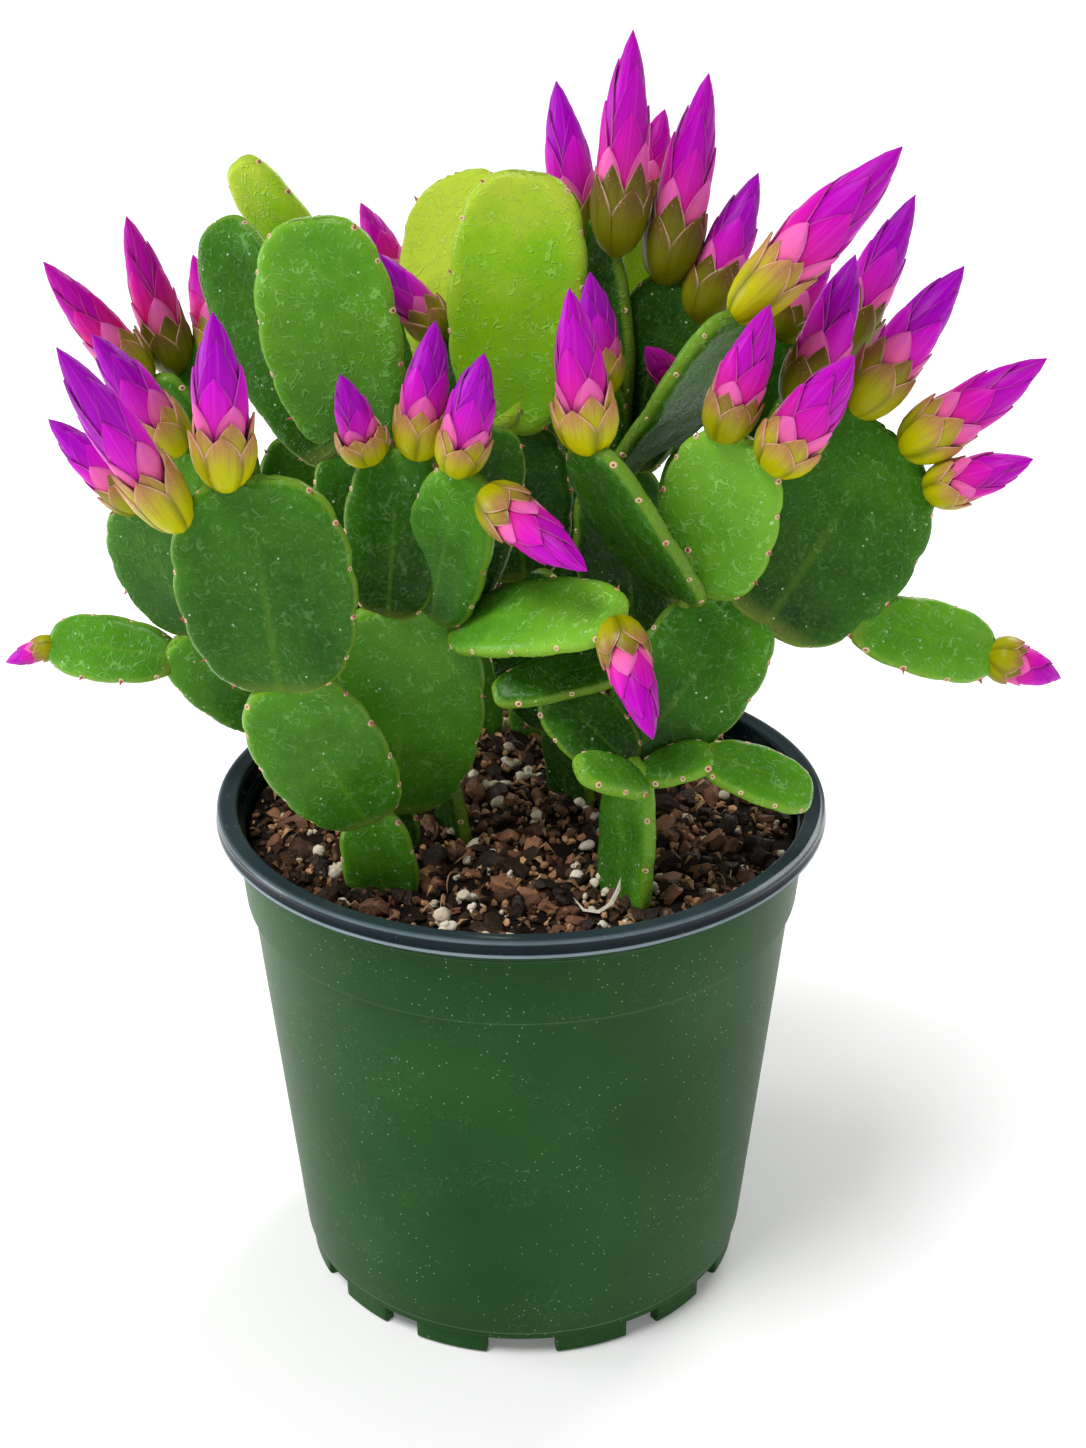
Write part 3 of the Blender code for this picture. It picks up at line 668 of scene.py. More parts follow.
@dataclass(frozen=True)
class AreoleSkin:
    """Felted spots in the pads' notches: a cream ring round a brown middle."""

    middle: Colour = (0.19, 0.045, 0.02)
    ring: Colour = (0.76, 0.5, 0.33)
    rust: Colour = (0.38, 0.11, 0.075)

    def material(self) -> bpy.types.Material:
        """Make the material."""
        g = Graph("areole_skin")
        felt = g.noise(g.place(), 2600.0)
        reach = g.attribute("along") + (felt - 0.5) * 0.3
        skin = g.coat(
            g.mix(reach.step(0.3, 0.52), self.middle, self.ring),
            (g.attribute("tone").step(0.4, 0.6), self.rust),
            (felt.step(0.5, 0.8) * 0.3, self.rust),
        )
        return g.finish(Base_Color=skin, Roughness=0.8, Normal=g.bump(felt, 0.0003, 0.6))


@dataclass(frozen=True)
class PotWallPlastic:
    """Green satin plastic with fine white specks, scuffs, a slightly uneven gloss and painted
    highlight lines along its groove, shoulder and foot ledge.
    """

    green: Colour = (0.0105, 0.056, 0.0085)
    pale: Colour = (0.018, 0.078, 0.015)
    speck: Colour = (0.42, 0.52, 0.4)
    # Heights of the groove, the shoulder and the foot ledge, where painted highlight lines run.
    edges: tuple = (0.1259, 0.1077, 0.0079)

    def material(self) -> bpy.types.Material:
        """Make the material."""
        g = Graph("pot_wall_plastic")
        at = g.place()
        height = g.height(at)
        cloud = g.noise(at, 22.0, 3.0)
        grain = g.noise(at, 1500.0)
        scuffs = 1.0 - abs(g.noise(at, 210.0, 1.0, 2.5) - 0.5).step(0.001, 0.008)
        scuffs = scuffs * g.noise(at, 60.0, 1.0).step(0.5, 0.62)
        specks = g.dots(at, 520.0, 0.115) * g.noise(at, 45.0, 1.0).step(0.4, 0.5)
        # Painted highlight lines at those heights.
        painted_highlight = [1.0 - abs(height - edge).step(0.0001, 0.0005) for edge in self.edges]
        skin = g.coat(
            g.mix(cloud.step(0.35, 0.75), self.green, self.pale),
            (scuffs * 0.16, self.speck),
            (specks * 0.6, self.speck),
            # The painted highlight lines.
            *((line * (0.04 + 0.16 * cloud), self.speck) for line in painted_highlight),
        )
        return g.finish(
            Base_Color=skin,
            Roughness=0.3 + 0.14 * cloud + 0.05 * grain,
            Normal=g.bump(grain * 0.5 + scuffs * 0.5, 0.00006, 0.5),
            Specular_IOR_Level=0.09,
        )


@dataclass(frozen=True)
class PotRimPlastic:
    """Slate black plastic of the rolled lip and the inside, lighter on the lip's top, with painted
    highlight lines along the lip's upper and lower outer edges.
    """

    slate: Colour = (0.0015, 0.008, 0.013)
    worn: Colour = (0.016, 0.03, 0.038)
    # Lighter colour towards the lip's top.
    lip_top_tint: Colour = (0.03, 0.05, 0.06)
    # Colour of the painted highlight lines along the lip's outer edges.
    painted_highlight: Colour = (0.27, 0.34, 0.39)
    dust: Colour = (0.35, 0.38, 0.38)
    top: float = 0.1335
    upper_edge: float = 0.1331
    lower_edge: float = 0.1299
    lip: float = 0.076

    def material(self) -> bpy.types.Material:
        """Make the material."""
        g = Graph("pot_rim_plastic")
        at = g.place()
        height = g.height(at)
        cloud = g.noise(at, 60.0, 3.0)
        outside = g.reach(at).step(self.lip - 0.0004, self.lip)
        # Painted highlight lines along the lip's upper and lower outer edges.
        upper_highlight_line = 1.0 - abs(height - self.upper_edge).step(0.0001, 0.0005)
        lower_highlight_line = 1.0 - abs(height - self.lower_edge).step(0.0002, 0.0006)
        dust = g.dots(at, 420.0, 0.1) * g.noise(at, 80.0, 1.0).step(0.5, 0.6)
        skin = g.coat(
            g.mix(cloud.step(0.4, 0.8) * 0.25, self.slate, self.worn),
            # Lighter towards the lip's top.
            (height.step(self.top - 0.001, self.upper_edge) * 0.9, self.lip_top_tint),
            # Painted highlights on the lip's outer edges.
            (upper_highlight_line * outside * (0.15 + 0.45 * cloud), self.painted_highlight),
            (lower_highlight_line * outside * (0.45 + 0.6 * cloud), self.painted_highlight),
            (dust * 0.5, self.dust),
        )
        return g.finish(
            Base_Color=skin,
            Roughness=0.09 + 0.1 * cloud,
            Normal=g.bump(g.noise(at, 900.0), 0.00003, 0.5),
            Specular_IOR_Level=0.13,
        )


@dataclass(frozen=True)
class CrumbSkin:
    """Bark, fibre or mineral lumps, from a dark to a light shade by the piece's own tone.

    Attributes:
        name: The material's name.
        dark: The darkest lump.
        light: The lightest lump.
        stain: Patches on it.
        grain: Lines a metre along a lump.
        roughness: How dull it is.
        mixing: How much one lump's shade varies over it.
    """

    name: str
    dark: Colour
    light: Colour
    stain: Colour
    grain: float = 900.0
    roughness: float = 0.85
    mixing: float = 0.5

    def material(self) -> bpy.types.Material:
        """Make the material."""
        g = Graph(self.name)
        at = g.place()
        tone = g.attribute("tone")
        fine = g.noise(at, self.grain, 3.0, 0.6)
        stains = g.noise(at, self.grain * 0.35).step(0.55, 0.72)
        skin = g.mix(tone + (fine - 0.5) * self.mixing, self.dark, self.light)
        skin = g.mix(stains * 0.4, skin, self.stain)
        lines = g.noise(g.stretched(g.attribute("along") * 9.0, tone * 40.0, 0.0), 2.0, 3.0)
        return g.finish(
            Base_Color=skin,
            Roughness=self.roughness,
            Normal=g.bump(fine * 0.6 + lines * 0.4, 0.0009, 0.8),
            Specular_IOR_Level=0.2,
        )


# The mix's skins: dark, light, stain, grain, roughness and mixing, under the piece's name.
MIX_SKINS = {
    piece: CrumbSkin(*values)
    for piece, *values in (
        ("mix_crust", "mix_crust", (0.004, 0.002, 0.002), (0.034, 0.014, 0.007),
         (0.01, 0.005, 0.003)),
        ("bark_chips", "bark", (0.014, 0.008, 0.005), (0.35, 0.16, 0.085), (0.006, 0.003, 0.002),
         1100.0, 0.45, 0.2),
        ("bark_crumbs", "bark_crumb", (0.018, 0.008, 0.004), (0.82, 0.44, 0.21),
         (0.02, 0.008, 0.004), 1500.0, 0.55, 0.2),
        ("perlite_grains", "perlite", (0.54, 0.4, 0.23), (0.86, 0.79, 0.64),
         (0.3, 0.18, 0.09), 1300.0),
        ("fibres_and_slivers", "fibre", (0.07, 0.024, 0.009), (0.64, 0.37, 0.17),
         (0.04, 0.012, 0.005), 1500.0, 0.7),
        ("pale_root", "root", (0.5, 0.4, 0.29), (0.82, 0.76, 0.65),
         (0.4, 0.25, 0.15), 900.0, 0.7),
    )
}


@dataclass(frozen=True)
class FloorPaint:
    """Plain pale studio floor, glowing less near the pot so that its shadow shows."""

    white: Colour = (0.8, 0.8, 0.8)
    near_glow: Colour = (0.14, 0.14, 0.14)
    far_glow: Colour = (0.46, 0.46, 0.46)
    near: float = 0.05
    far: float = 0.24

    def material(self) -> bpy.types.Material:
        """Make the material."""
        g = Graph("floor_paint")
        away = g.reach(g.place()).step(self.near, self.far)
        return g.finish(
            Base_Color=self.white,
            Roughness=0.9,
            Specular_IOR_Level=0.1,
            Emission_Color=g.mix(away, self.near_glow, self.far_glow),
            Emission_Strength=1.0,
        )


def put(name: str, data: bpy.types.ID) -> bpy.types.Object:
    """Add an object with a mesh, a light or a camera to the scene."""
    made = bpy.data.objects.new(name, data)
    bpy.context.scene.collection.objects.link(made)
    return made


def upright(start: Vector, tip: Vector) -> Matrix:
    """Give the place of something that stands at a point, with +Z towards its tip."""
    lift = (tip - start).to_track_quat("Z", "Y").to_matrix().to_4x4()
    return Matrix.Translation(start) @ lift


class Piece:
    """A mesh that is being built, with numbers stored on its points for the materials."""

    NUMBERS = ("tone", "along", "across", "edge", "hue")

    def __init__(self, name: str) -> None:
        """Start an empty piece."""
        self.name = name
        self.mesh = bmesh.new()
        self.layers = {n: self.mesh.verts.layers.float.new(n) for n in self.NUMBERS}

    def store(self, vertex: bmesh.types.BMVert, **numbers: float) -> None:
        """Store numbers on one point."""
        for name, value in numbers.items():
            vertex[self.layers[name]] = value

    def spin(self, geometry: list, angle: float, steps: int, **settings: bool) -> list:
        """Sweep geometry round the pot's axis, and give what it ends in."""
        swept = bmesh.ops.spin(
            self.mesh,
            geom=geometry,
            cent=(0.0, 0.0, 0.0),
            axis=(0.0, 0.0, 1.0),
            dvec=(0.0, 0.0, 0.0),
            angle=angle,
            steps=steps,
            **settings,
        )
        return swept["geom_last"]

    def blank(self, create: Callable, **settings: float) -> Sequence[bmesh.types.BMVert]:
        """Add a plain form with the operator that creates it, and give its points."""
        return create(self.mesh, **settings)["verts"]

    def finish(
        self,
        material: bpy.types.Material,
        slot: str,
        smooth_to: float,
        weld: float = 0.0,
        wall: float = 0.0,
    ) -> bpy.types.Object:
        """Turn the piece into an object that rides on the part.

        Args:
            material: Its finish.
            slot: The record's material slot; not used.
            smooth_to: Edges sharper than this many degrees stay sharp.
            weld: Points this close are merged, in metres.
            wall: The thickness that an open sheet is given, in metres.

        Returns:
            The object.
        """
        if weld > 0.0:
            bmesh.ops.remove_doubles(self.mesh, verts=self.mesh.verts, dist=weld)
        if wall > 0.0:
            bmesh.ops.solidify(self.mesh, geom=self.mesh.faces[:], thickness=wall)
        data = bpy.data.meshes.new(self.name)
        self.mesh.to_mesh(data)
        self.mesh.free()
        data.shade_smooth()
        data.set_sharp_from_angle(angle=math.radians(smooth_to))
        data.materials.append(material)
        made = put(self.name, data)
        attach(made, BODY)
        LOG.info("%s: %d faces", self.name, len(data.polygons))
        return made


@dataclass
class NurseryPot:
    """The thin moulded pot: a green outer skin with feet, and a slate lip and lining."""

    top: float = 0.1335
    lip_radius: float = 0.0772
    rim_radius: float = 0.0716
    wall_top: float = 0.1282
    shoulder: float = 0.1078
    shoulder_step: float = 0.0013
    ledge_radius: float = 0.0598
    ledge: float = 0.0077
    slope: float = 0.0957
    foot_radius: float = 0.0584
    foot_thickness: float = 0.0032
    notch_top: float = 0.0069
    floor_underside: float = 0.005
    floor_top: float = 0.0065
    wall: float = 0.0012
    steps: int = 144
    foot_rounding: float = 0.0007
    bevel: float = 0.0004
    skin_gap: float = 0.00002
    nub: float = 0.0007
    nub_angles: tuple = (-77.0, 68.0)
    feet: tuple = ((8.8, 27.7), (37.3, 52.7), (62.3, 81.2))
    # Curves in tenths of a millimetre: (up, out) from the wall, (in, down) from the lip and rim.
    groove_curve: tuple = ((0, 13), (-19, 13), (-22, 10), (-25, 13))
    shoulder_curve: tuple = ((11, 13), (4, 12), (-3, 4), (-8, 1), (-14, 0))
    lip_curve: tuple = (
        (22, 45), (6, 44), (1, 40), (0, 35), (2, 29), (5, 22), (5, 15), (3, 9), (6, 3), (13, 0),
        (24, 0.5), (30, 3),
    )
    rim_curve: tuple = ((-12, 3), (-6, 4), (-1, 9), (0, 18), (2, 50), (6, 57))

    def wall_radius(self, height: float) -> float:
        """Give the radius of the tapered outside at a height."""
        return self.ledge_radius + self.slope * (height - self.ledge)

    def turn(self, piece: Piece, profile: Sequence[tuple[float, float]]) -> None:
        """Turn a profile that runs from the axis and back to it into a closed shell."""
        chain = [piece.mesh.verts.new((radius, 0.0, height)) for radius, height in profile]
        edges = [piece.mesh.edges.new(pair) for pair in zip(chain, chain[1:])]
        piece.spin(chain + edges, math.tau, self.steps, use_merge=True)
        bmesh.ops.remove_doubles(piece.mesh, verts=piece.mesh.verts, dist=WELD)
        bmesh.ops.recalc_face_normals(piece.mesh, faces=piece.mesh.faces)

    def add_foot(self, piece: Piece, start: float, end: float) -> None:
        """Sweep one foot between two angles from the front, in degrees."""
        inner = self.foot_radius - self.foot_thickness
        high = self.notch_top + 0.0003
        corners = (
            (inner, high),
            (inner, 0.0),
            (self.foot_radius - self.foot_rounding, 0.0),
            (self.foot_radius, self.foot_rounding),
            (self.foot_radius + 0.0002, high),
        )
        begin = math.radians(start)
        across, ahead = math.sin(begin), -math.cos(begin)
        ring = [piece.mesh.verts.new((r * across, r * ahead, z)) for r, z in corners]
        section = piece.mesh.faces.new(ring)
        ends = piece.spin([section, *section.edges, *section.verts], math.radians(end - start), 8)
        last = [x for x in ends if isinstance(x, bmesh.types.BMFace)]
        rims = {e for f in (section, *last) if f.is_valid for e in f.edges}
        bmesh.ops.bevel(
            piece.mesh,
            geom=list(rims),
            offset=self.bevel,
            affect="EDGES",
            segments=2,
            profile=0.5,
            material=-1,
        )

    def wall_profile(self) -> list[tuple[float, float]]:
        """Give the green skin's profile, out along the floor, down the wall and back."""
        floor = 0.5 * (self.floor_underside + self.floor_top)
        inner = self.foot_radius - self.foot_thickness
        inside = [(self.wall_radius(z) - 0.5 * self.wall, z) for z in (floor, 0.04, 0.08)]
        inside.append((self.wall_radius(self.wall_top) - 0.5 * self.wall, self.wall_top))
        outside = [(self.wall_top + up * TENTH, out * TENTH) for up, out in self.groove_curve]
        outside += [(self.shoulder + up * TENTH, out * TENTH) for up, out in self.shoulder_curve]
        outside += [(height, 0.0) for height in (0.085, 0.06, 0.035, self.ledge + 0.001)]
        outside.append((self.ledge + 0.0003, -0.0001))
        return [
            (0.0, floor),
            *inside,
            *((self.wall_radius(z) + out, z) for z, out in outside),
            (self.ledge_radius - 0.0006, self.ledge - 0.0003),
            (self.foot_radius + 0.0003, self.notch_top),
            (inner, self.notch_top),
            (inner, self.floor_underside),
            (0.0, self.floor_underside),
        ]

    def lining_profile(self) -> list[tuple[float, float]]:
        """Give the slate skin's profile: up outside, over the beaded lip and down inside."""
        half = 0.5 * self.wall + self.skin_gap
        floor = 0.5 * (self.floor_underside + self.floor_top) + self.skin_gap
        under = self.wall_top + 0.00005
        profile = [(0.0, floor), (self.wall_radius(floor) - half, floor)]
        profile.append((self.wall_radius(under) - half, under))
        profile.append((self.wall_radius(under) + self.shoulder_step + 0.0002, under))
        for radius, curve in ((self.lip_radius, self.lip_curve), (self.rim_radius, self.rim_curve)):
            profile += [(radius - off * TENTH, self.top - down * TENTH) for off, down in curve]
        for height in (self.top - 0.0062, 0.08, self.floor_top):
            profile.append((self.wall_radius(height) - self.wall, height))
        return [*profile, (0.0, self.floor_top)]

    def add_flash(self, piece: Piece) -> None:
        """Raise the two small moulding nubs under the lip."""
        reach = self.lip_radius - 0.0009
        for angle in self.nub_angles:
            turn = math.radians(angle)
            place = (reach * math.sin(turn), -reach * math.cos(turn), self.top - 0.0046)
            spot = Matrix.Translation(place) @ Matrix.Scale(0.8, 4)
            piece.blank(bmesh.ops.create_icosphere, subdivisions=2, radius=self.nub, matrix=spot)

    def build(self) -> None:
        """Make both skins."""
        wall = Piece("pot_wall")
        self.turn(wall, self.wall_profile())
        for quarter in range(4):
            for start, end in self.feet:
                self.add_foot(wall, start + 90.0 * quarter, end + 90.0 * quarter)
        bmesh.ops.recalc_face_normals(wall.mesh, faces=wall.mesh.faces)
        made = wall.finish(PotWallPlastic().material(), "pot_plastic", 32.0)
        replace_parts(made, "pot")
        lining = Piece("pot_rim_and_lining")
        self.turn(lining, self.lining_profile())
        self.add_flash(lining)
        lining.finish(PotRimPlastic().material(), "pot_plastic", 40.0)


@dataclass
class PottingMix:
    """The rough top of the mix: bark chips, crumbs, perlite, slivers and fibres."""

    level: float = 0.125
    mound: float = 0.0015
    reach: float = 0.0692
    lumps: tuple = (0.0011, 130.0)
    crust: tuple = (0.0007, 420.0)
    crust_tone: tuple = (0.5, 260.0)
    spread: float = 0.0675
    sunk: float = 0.006
    seed: int = 11
    chips: int = 760
    large_chips: float = 0.45
    crumbs: int = 2300
    grains: int = 190
    fibres: int = 60
    slivers: int = 240
    squareness: float = 0.6
    root_path: tuple = (
        (12.5, -49.5, 4.6), (15.0, -51.5, 2.2), (18.5, -52.0, 2.0), (21.5, -50.0, 3.2),
        (23.2, -47.5, 5.6), (23.8, -46.0, 8.0),
    )

    def height(self, x: float, y: float) -> float:
        """Give the level of the mix: a low mound with soft lumps."""
        far = math.hypot(x, y) / self.reach
        high, scale = self.lumps
        lumps = noise.fractal(Vector((x, y, 0.3)) * scale, 1.0, 2.0, 3)
        return self.level + self.mound * (1.0 - far) + high * lumps

    def spot(self, draw: random.Random, size: float = 0.006) -> Vector:
        """Draw a place on the mix for a lump of a size, clear of the pot's wall."""
        turn = draw.uniform(0.0, math.tau)
        reach = (self.reach - 0.52 * size) * math.sqrt(draw.random())
        x, y = reach * math.cos(turn), reach * math.sin(turn)
        return Vector((x, y, self.height(x, y)))

    def lay(self, draw: random.Random, size: Vector, lift: float, tilt: float) -> Matrix:
        """Draw a place, a turn and a tilt for a lump of a size."""
        turn = Matrix.Rotation(draw.uniform(0.0, math.tau), 4, "Z")
        lean = Matrix.Rotation(draw.uniform(-tilt, tilt), 4, "X")
        roll = Matrix.Rotation(draw.uniform(-tilt, tilt), 4, "Y")
        spot = self.spot(draw, max(size))
        spot.z += lift * size.z
        return Matrix.Translation(spot) @ turn @ lean @ roll @ Matrix.Diagonal((*size, 1.0))

    def jitter(
        self, piece: Piece, verts: Sequence, draw: random.Random, amount: float, tone: float
    ) -> None:
        """Knock a lump's corners about and store its shade."""
        middle = sum((v.co for v in verts), Vector()) / len(verts)
        for vertex in verts:
            arm = vertex.co - middle
            vertex.co = middle + arm * (1.0 + draw.uniform(-amount, amount))
            piece.store(vertex, tone=tone, along=arm.length / 0.004)

    def lump_size(self, draw: random.Random, length: float, wide: tuple, high: tuple) -> Vector:
        """Draw a lump's width and height, each between two parts of its length."""
        return Vector((length, length * draw.uniform(*wide), length * draw.uniform(*high)))

    def finish(self, piece: Piece, smooth_to: float) -> bpy.types.Object:
        """Finish a piece with the skin that is kept under its name."""
        return piece.finish(MIX_SKINS[piece.name].material(), "potting_mix", smooth_to)

    def build_crust(self) -> None:
        """Make the lumpy ground between the chips."""
        piece = Piece("mix_crust")
        for vertex in piece.blank(bmesh.ops.create_grid, x_segments=90, y_segments=90, size=1.0):
            u, v = vertex.co.x, vertex.co.y
            x = u * math.sqrt(1.0 - 0.5 * v * v) * self.reach
            y = v * math.sqrt(1.0 - 0.5 * u * u) * self.reach
            high, scale = self.crust
            rough = noise.fractal(Vector((x, y, 2.0)) * scale, 1.0, 2.0, 3)
            vertex.co = (x, y, self.height(x, y) + high * rough)
            change, scale = self.crust_tone
            tone = 0.25 + change * noise.noise(Vector((x, y, 5.0)) * scale)
            piece.store(vertex, tone=tone, along=vertex.co.z * 800.0)
        floor = bmesh.ops.extrude_face_region(piece.mesh, geom=piece.mesh.faces[:])
        for vertex in (x for x in floor["geom"] if isinstance(x, bmesh.types.BMVert)):
            vertex.co.z = self.level - self.sunk
        bmesh.ops.recalc_face_normals(piece.mesh, faces=piece.mesh.faces)
        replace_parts(self.finish(piece, 60.0), "potting_mix")

    def build_chips(self, draw: random.Random) -> None:
        """Scatter the dark angular bark chips."""
        piece = Piece("bark_chips")
        for number in range(self.chips):
            large = number < self.chips * self.large_chips
            length = draw.uniform(0.0048, 0.0088) if large else draw.uniform(0.0026, 0.005)
            size = self.lump_size(draw, length, (0.4, 0.8), (0.25, 0.55))
            lay = self.lay(draw, size, 0.2, 0.9)
            lump = piece.blank(bmesh.ops.create_icosphere, subdivisions=2, radius=1.0)
            for vertex in lump:
                squared = [math.copysign(abs(c) ** self.squareness, c) for c in vertex.co]
                vertex.co = lay @ (0.5 * Vector(squared))
            self.jitter(piece, lump, draw, 0.2, draw.random() ** 2.6)
        self.finish(piece, 28.0)

    def build_crumbs(self, draw: random.Random) -> None:
        """Scatter the small red brown and black crumbs."""
        piece = Piece("bark_crumbs")
        for _ in range(self.crumbs):
            size = self.lump_size(draw, draw.uniform(0.0009, 0.0024), (0.5, 0.9), (0.4, 0.8))
            lay = self.lay(draw, size, 0.75, 1.2)
            lump = piece.blank(bmesh.ops.create_icosphere, subdivisions=1, radius=0.6, matrix=lay)
            self.jitter(piece, lump, draw, 0.25, draw.random() ** 2.0)
        self.finish(piece, 25.0)

    def build_perlite(self, draw: random.Random) -> None:
        """Scatter the cream mineral grains, some of them lumps of two or three."""
        piece = Piece("perlite_grains")
        for _ in range(self.grains):
            length = 0.0013 + 0.0029 * draw.random() ** 1.5
            tone = draw.uniform(0.45, 1.0)
            lay = self.lay(draw, Vector((length, length, length)), 0.45, 1.2)
            for _ in range(draw.choice((1, 1, 2, 3))):
                shift = Vector([draw.uniform(-0.35, 0.35) for _ in range(3)])
                radius = draw.uniform(0.32, 0.52)
                stretch = (draw.uniform(0.8, 1.4), 1.0, draw.uniform(0.6, 1.0), 1.0)
                at = lay @ Matrix.Translation(shift) @ Matrix.Diagonal(stretch)
                form = bmesh.ops.create_icosphere
                lump = piece.blank(form, subdivisions=2, radius=radius, matrix=at)
                self.jitter(piece, lump, draw, 0.13, tone)
        self.finish(piece, 70.0)

    def strand(
        self, piece: Piece, points: Sequence[Vector], width: float, thickness: float, tone: float
    ) -> None:
        """Sweep a thin four-sided strand through points, pointed at both ends."""
        last = len(points) - 1
        form = bmesh.ops.create_uvsphere
        for vertex in piece.blank(form, u_segments=4, v_segments=last, radius=1.0):
            near = round(math.acos(max(-1.0, min(1.0, -vertex.co.z))) / math.pi * last)
            ahead = points[min(near + 1, last)] - points[max(near - 1, 0)]
            side = ahead.cross(Vector((0.0, 0.0, 1.0))).normalized()
            lift = side.cross(ahead).normalized()
            turn = math.atan2(vertex.co.y, vertex.co.x)
            taper = 0.6 * math.sin(math.pi * near / last) ** 0.4
            piece.store(vertex, tone=tone, along=near * 0.7)
            sideways = side * (math.cos(turn) * width * taper)
            vertex.co = points[near] + sideways + lift * (math.sin(turn) * thickness * taper)

    def build_strands(self, draw: random.Random) -> None:
        """Scatter curved fibres and straight slivers."""
        piece = Piece("fibres_and_slivers")
        for number in range(self.fibres + self.slivers):
            fibre = number < self.fibres
            length = draw.uniform(0.005, 0.011) if fibre else draw.uniform(0.0022, 0.0055)
            x, y, _ = self.spot(draw)
            heading = draw.uniform(0.0, math.tau)
            bend = draw.uniform(-1.3, 1.3) if fibre else draw.uniform(-0.2, 0.2)
            rise = draw.uniform(0.0006, 0.0022)
            last = 5 if fibre else 2
            points = []
            for i in range(last + 1):
                arch = rise * (1.0 + math.sin(math.pi * i / last))
                points.append(Vector((x, y, self.height(x, y) + arch)))
                x += math.cos(heading + bend * i / last) * length / last
                y += math.sin(heading + bend * i / last) * length / last
            if max(math.hypot(p.x, p.y) for p in points) > self.spread:
                continue
            width = draw.uniform(0.00022, 0.0005) if fibre else draw.uniform(0.0007, 0.0016)
            self.strand(piece, points, width, width * 0.55, draw.random() ** 1.6)
        self.finish(piece, 60.0)

    def build_root(self) -> None:
        """Lay the pale root at the foot of the right stem."""
        root = Piece("pale_root")
        points = [Vector((x, y, self.level / MM + z)) * MM for x, y, z in self.root_path]
        self.strand(root, points, 0.0011, 0.001, 0.9)
        self.finish(root, 70.0)

    def build(self) -> None:
        """Make the crust and everything that lies on it."""
        draw = random.Random(self.seed)
        self.build_crust()
        self.build_chips(draw)
        self.build_crumbs(draw)
        self.build_perlite(draw)
        self.build_strands(draw)
        self.build_root()


class PadFrame:
    """Where one pad stands, and the shape of its outline."""

    EGG = 0.06
    BLUNTNESS = 0.62
    BOW = 0.05
    NOTCH_DEPTH = 0.034
    NOTCHES_BY_WIDTH = ((0.0275, 6), (0.0195, 5), (0.0145, 4), (0.0, 3))

    def __init__(self, pad: Pad, base: Vector) -> None:
        """Stand a pad between its base, in metres, and its tip."""
        tip = Vector(pad.tip) * MM
        self.tone = pad.tone.value
        self.base = Vector(base)
        self.length = (tip - self.base).length
        self.half_width = 0.5 * pad.width * MM
        self.bow = self.BOW if pad.parent else 0.0
        self.rooted = not pad.parent
        self.axis = (tip - self.base).normalized()
        facing = Vector(pad.facing)
        self.normal = (facing - self.axis * facing.dot(self.axis)).normalized()
        self.across = self.axis.cross(self.normal)
        width = 2.0 * self.half_width
        self.notches = next(n for least, n in self.NOTCHES_BY_WIDTH if width > least)
        self.bands = 2 * self.notches + 2

    def outline(self, angle: float) -> float:
        """Give half the width at an angle from the tip: an egg, wider above its middle."""
        egg = 1.0 + self.EGG * math.cos(angle)
        return self.half_width * egg * max(math.sin(angle), 0.0) ** self.BLUNTNESS

    def waved(self, angle: float) -> float:
        """Give half the width with the notches of the margin taken off."""
        dip = (0.5 + 0.5 * math.cos(self.bands * angle)) ** 2.5
        return self.outline(angle) * (1.0 - self.NOTCH_DEPTH * dip)

    def along(self, angle: float) -> float:
        """Give the distance from the base at an angle from the tip."""
        return 0.5 * self.length * (1.0 + math.cos(angle))

    def place(self, across: float, along: float, off: float) -> Vector:
        """Turn a point of the pad into a point of the plant."""
        part = along / self.length
        bow = self.bow * self.length * 4.0 * part * (part - 1.0)
        return self.base + self.across * across + self.axis * along + self.normal * (off - bow)

    def margin(self, angle: float, side: float, inset: float = 1.0) -> Vector:
        """Give the point of the margin at an angle from the tip, on one side."""
        return self.place(side * inset * self.waved(angle), self.along(angle), 0.0)

    def growing_point(self, spot: float, sink: float) -> Vector:
        """Give the point where something grows, sunk a little inside the outline."""
        angle = math.radians(abs(spot))
        across = math.copysign(self.outline(angle), spot)
        along = self.along(angle)
        inward = Vector((-across, 0.5 * self.length - along))
        if inward.length > 0.0:
            inward.normalize()
        return self.place(across + inward.x * sink, along + inward.y * sink, 0.0)


@dataclass(frozen=True)
class Whorl:
    """One ring of scales or petals round a bud, in parts of its length and radius.

    Attributes:
        count: How many blades.
        base: The height where they start.
        tip: The height where they end.
        spread: Half the angle that a blade covers, in degrees.
        reach: Their distance out, as a part of the bud's own outline there.
        keel: How far a blade's middle stands proud of its edges, in parts of the radius.
        twist: How far a blade turns on its way up, in degrees.
        flare: How far its tip bends out, in parts of the radius.
        taper: The part of a blade that narrows to its point, or 0 for the rolled heart.
        layer: 0 for the outermost petals and 1 for the heart.
        convexity: How full a blade stays before its point.
    """

    count: int
    base: float
    tip: float
    spread: float
    reach: float
    keel: float
    twist: float
    flare: float
    taper: float
    layer: float
    convexity: float = 2.0


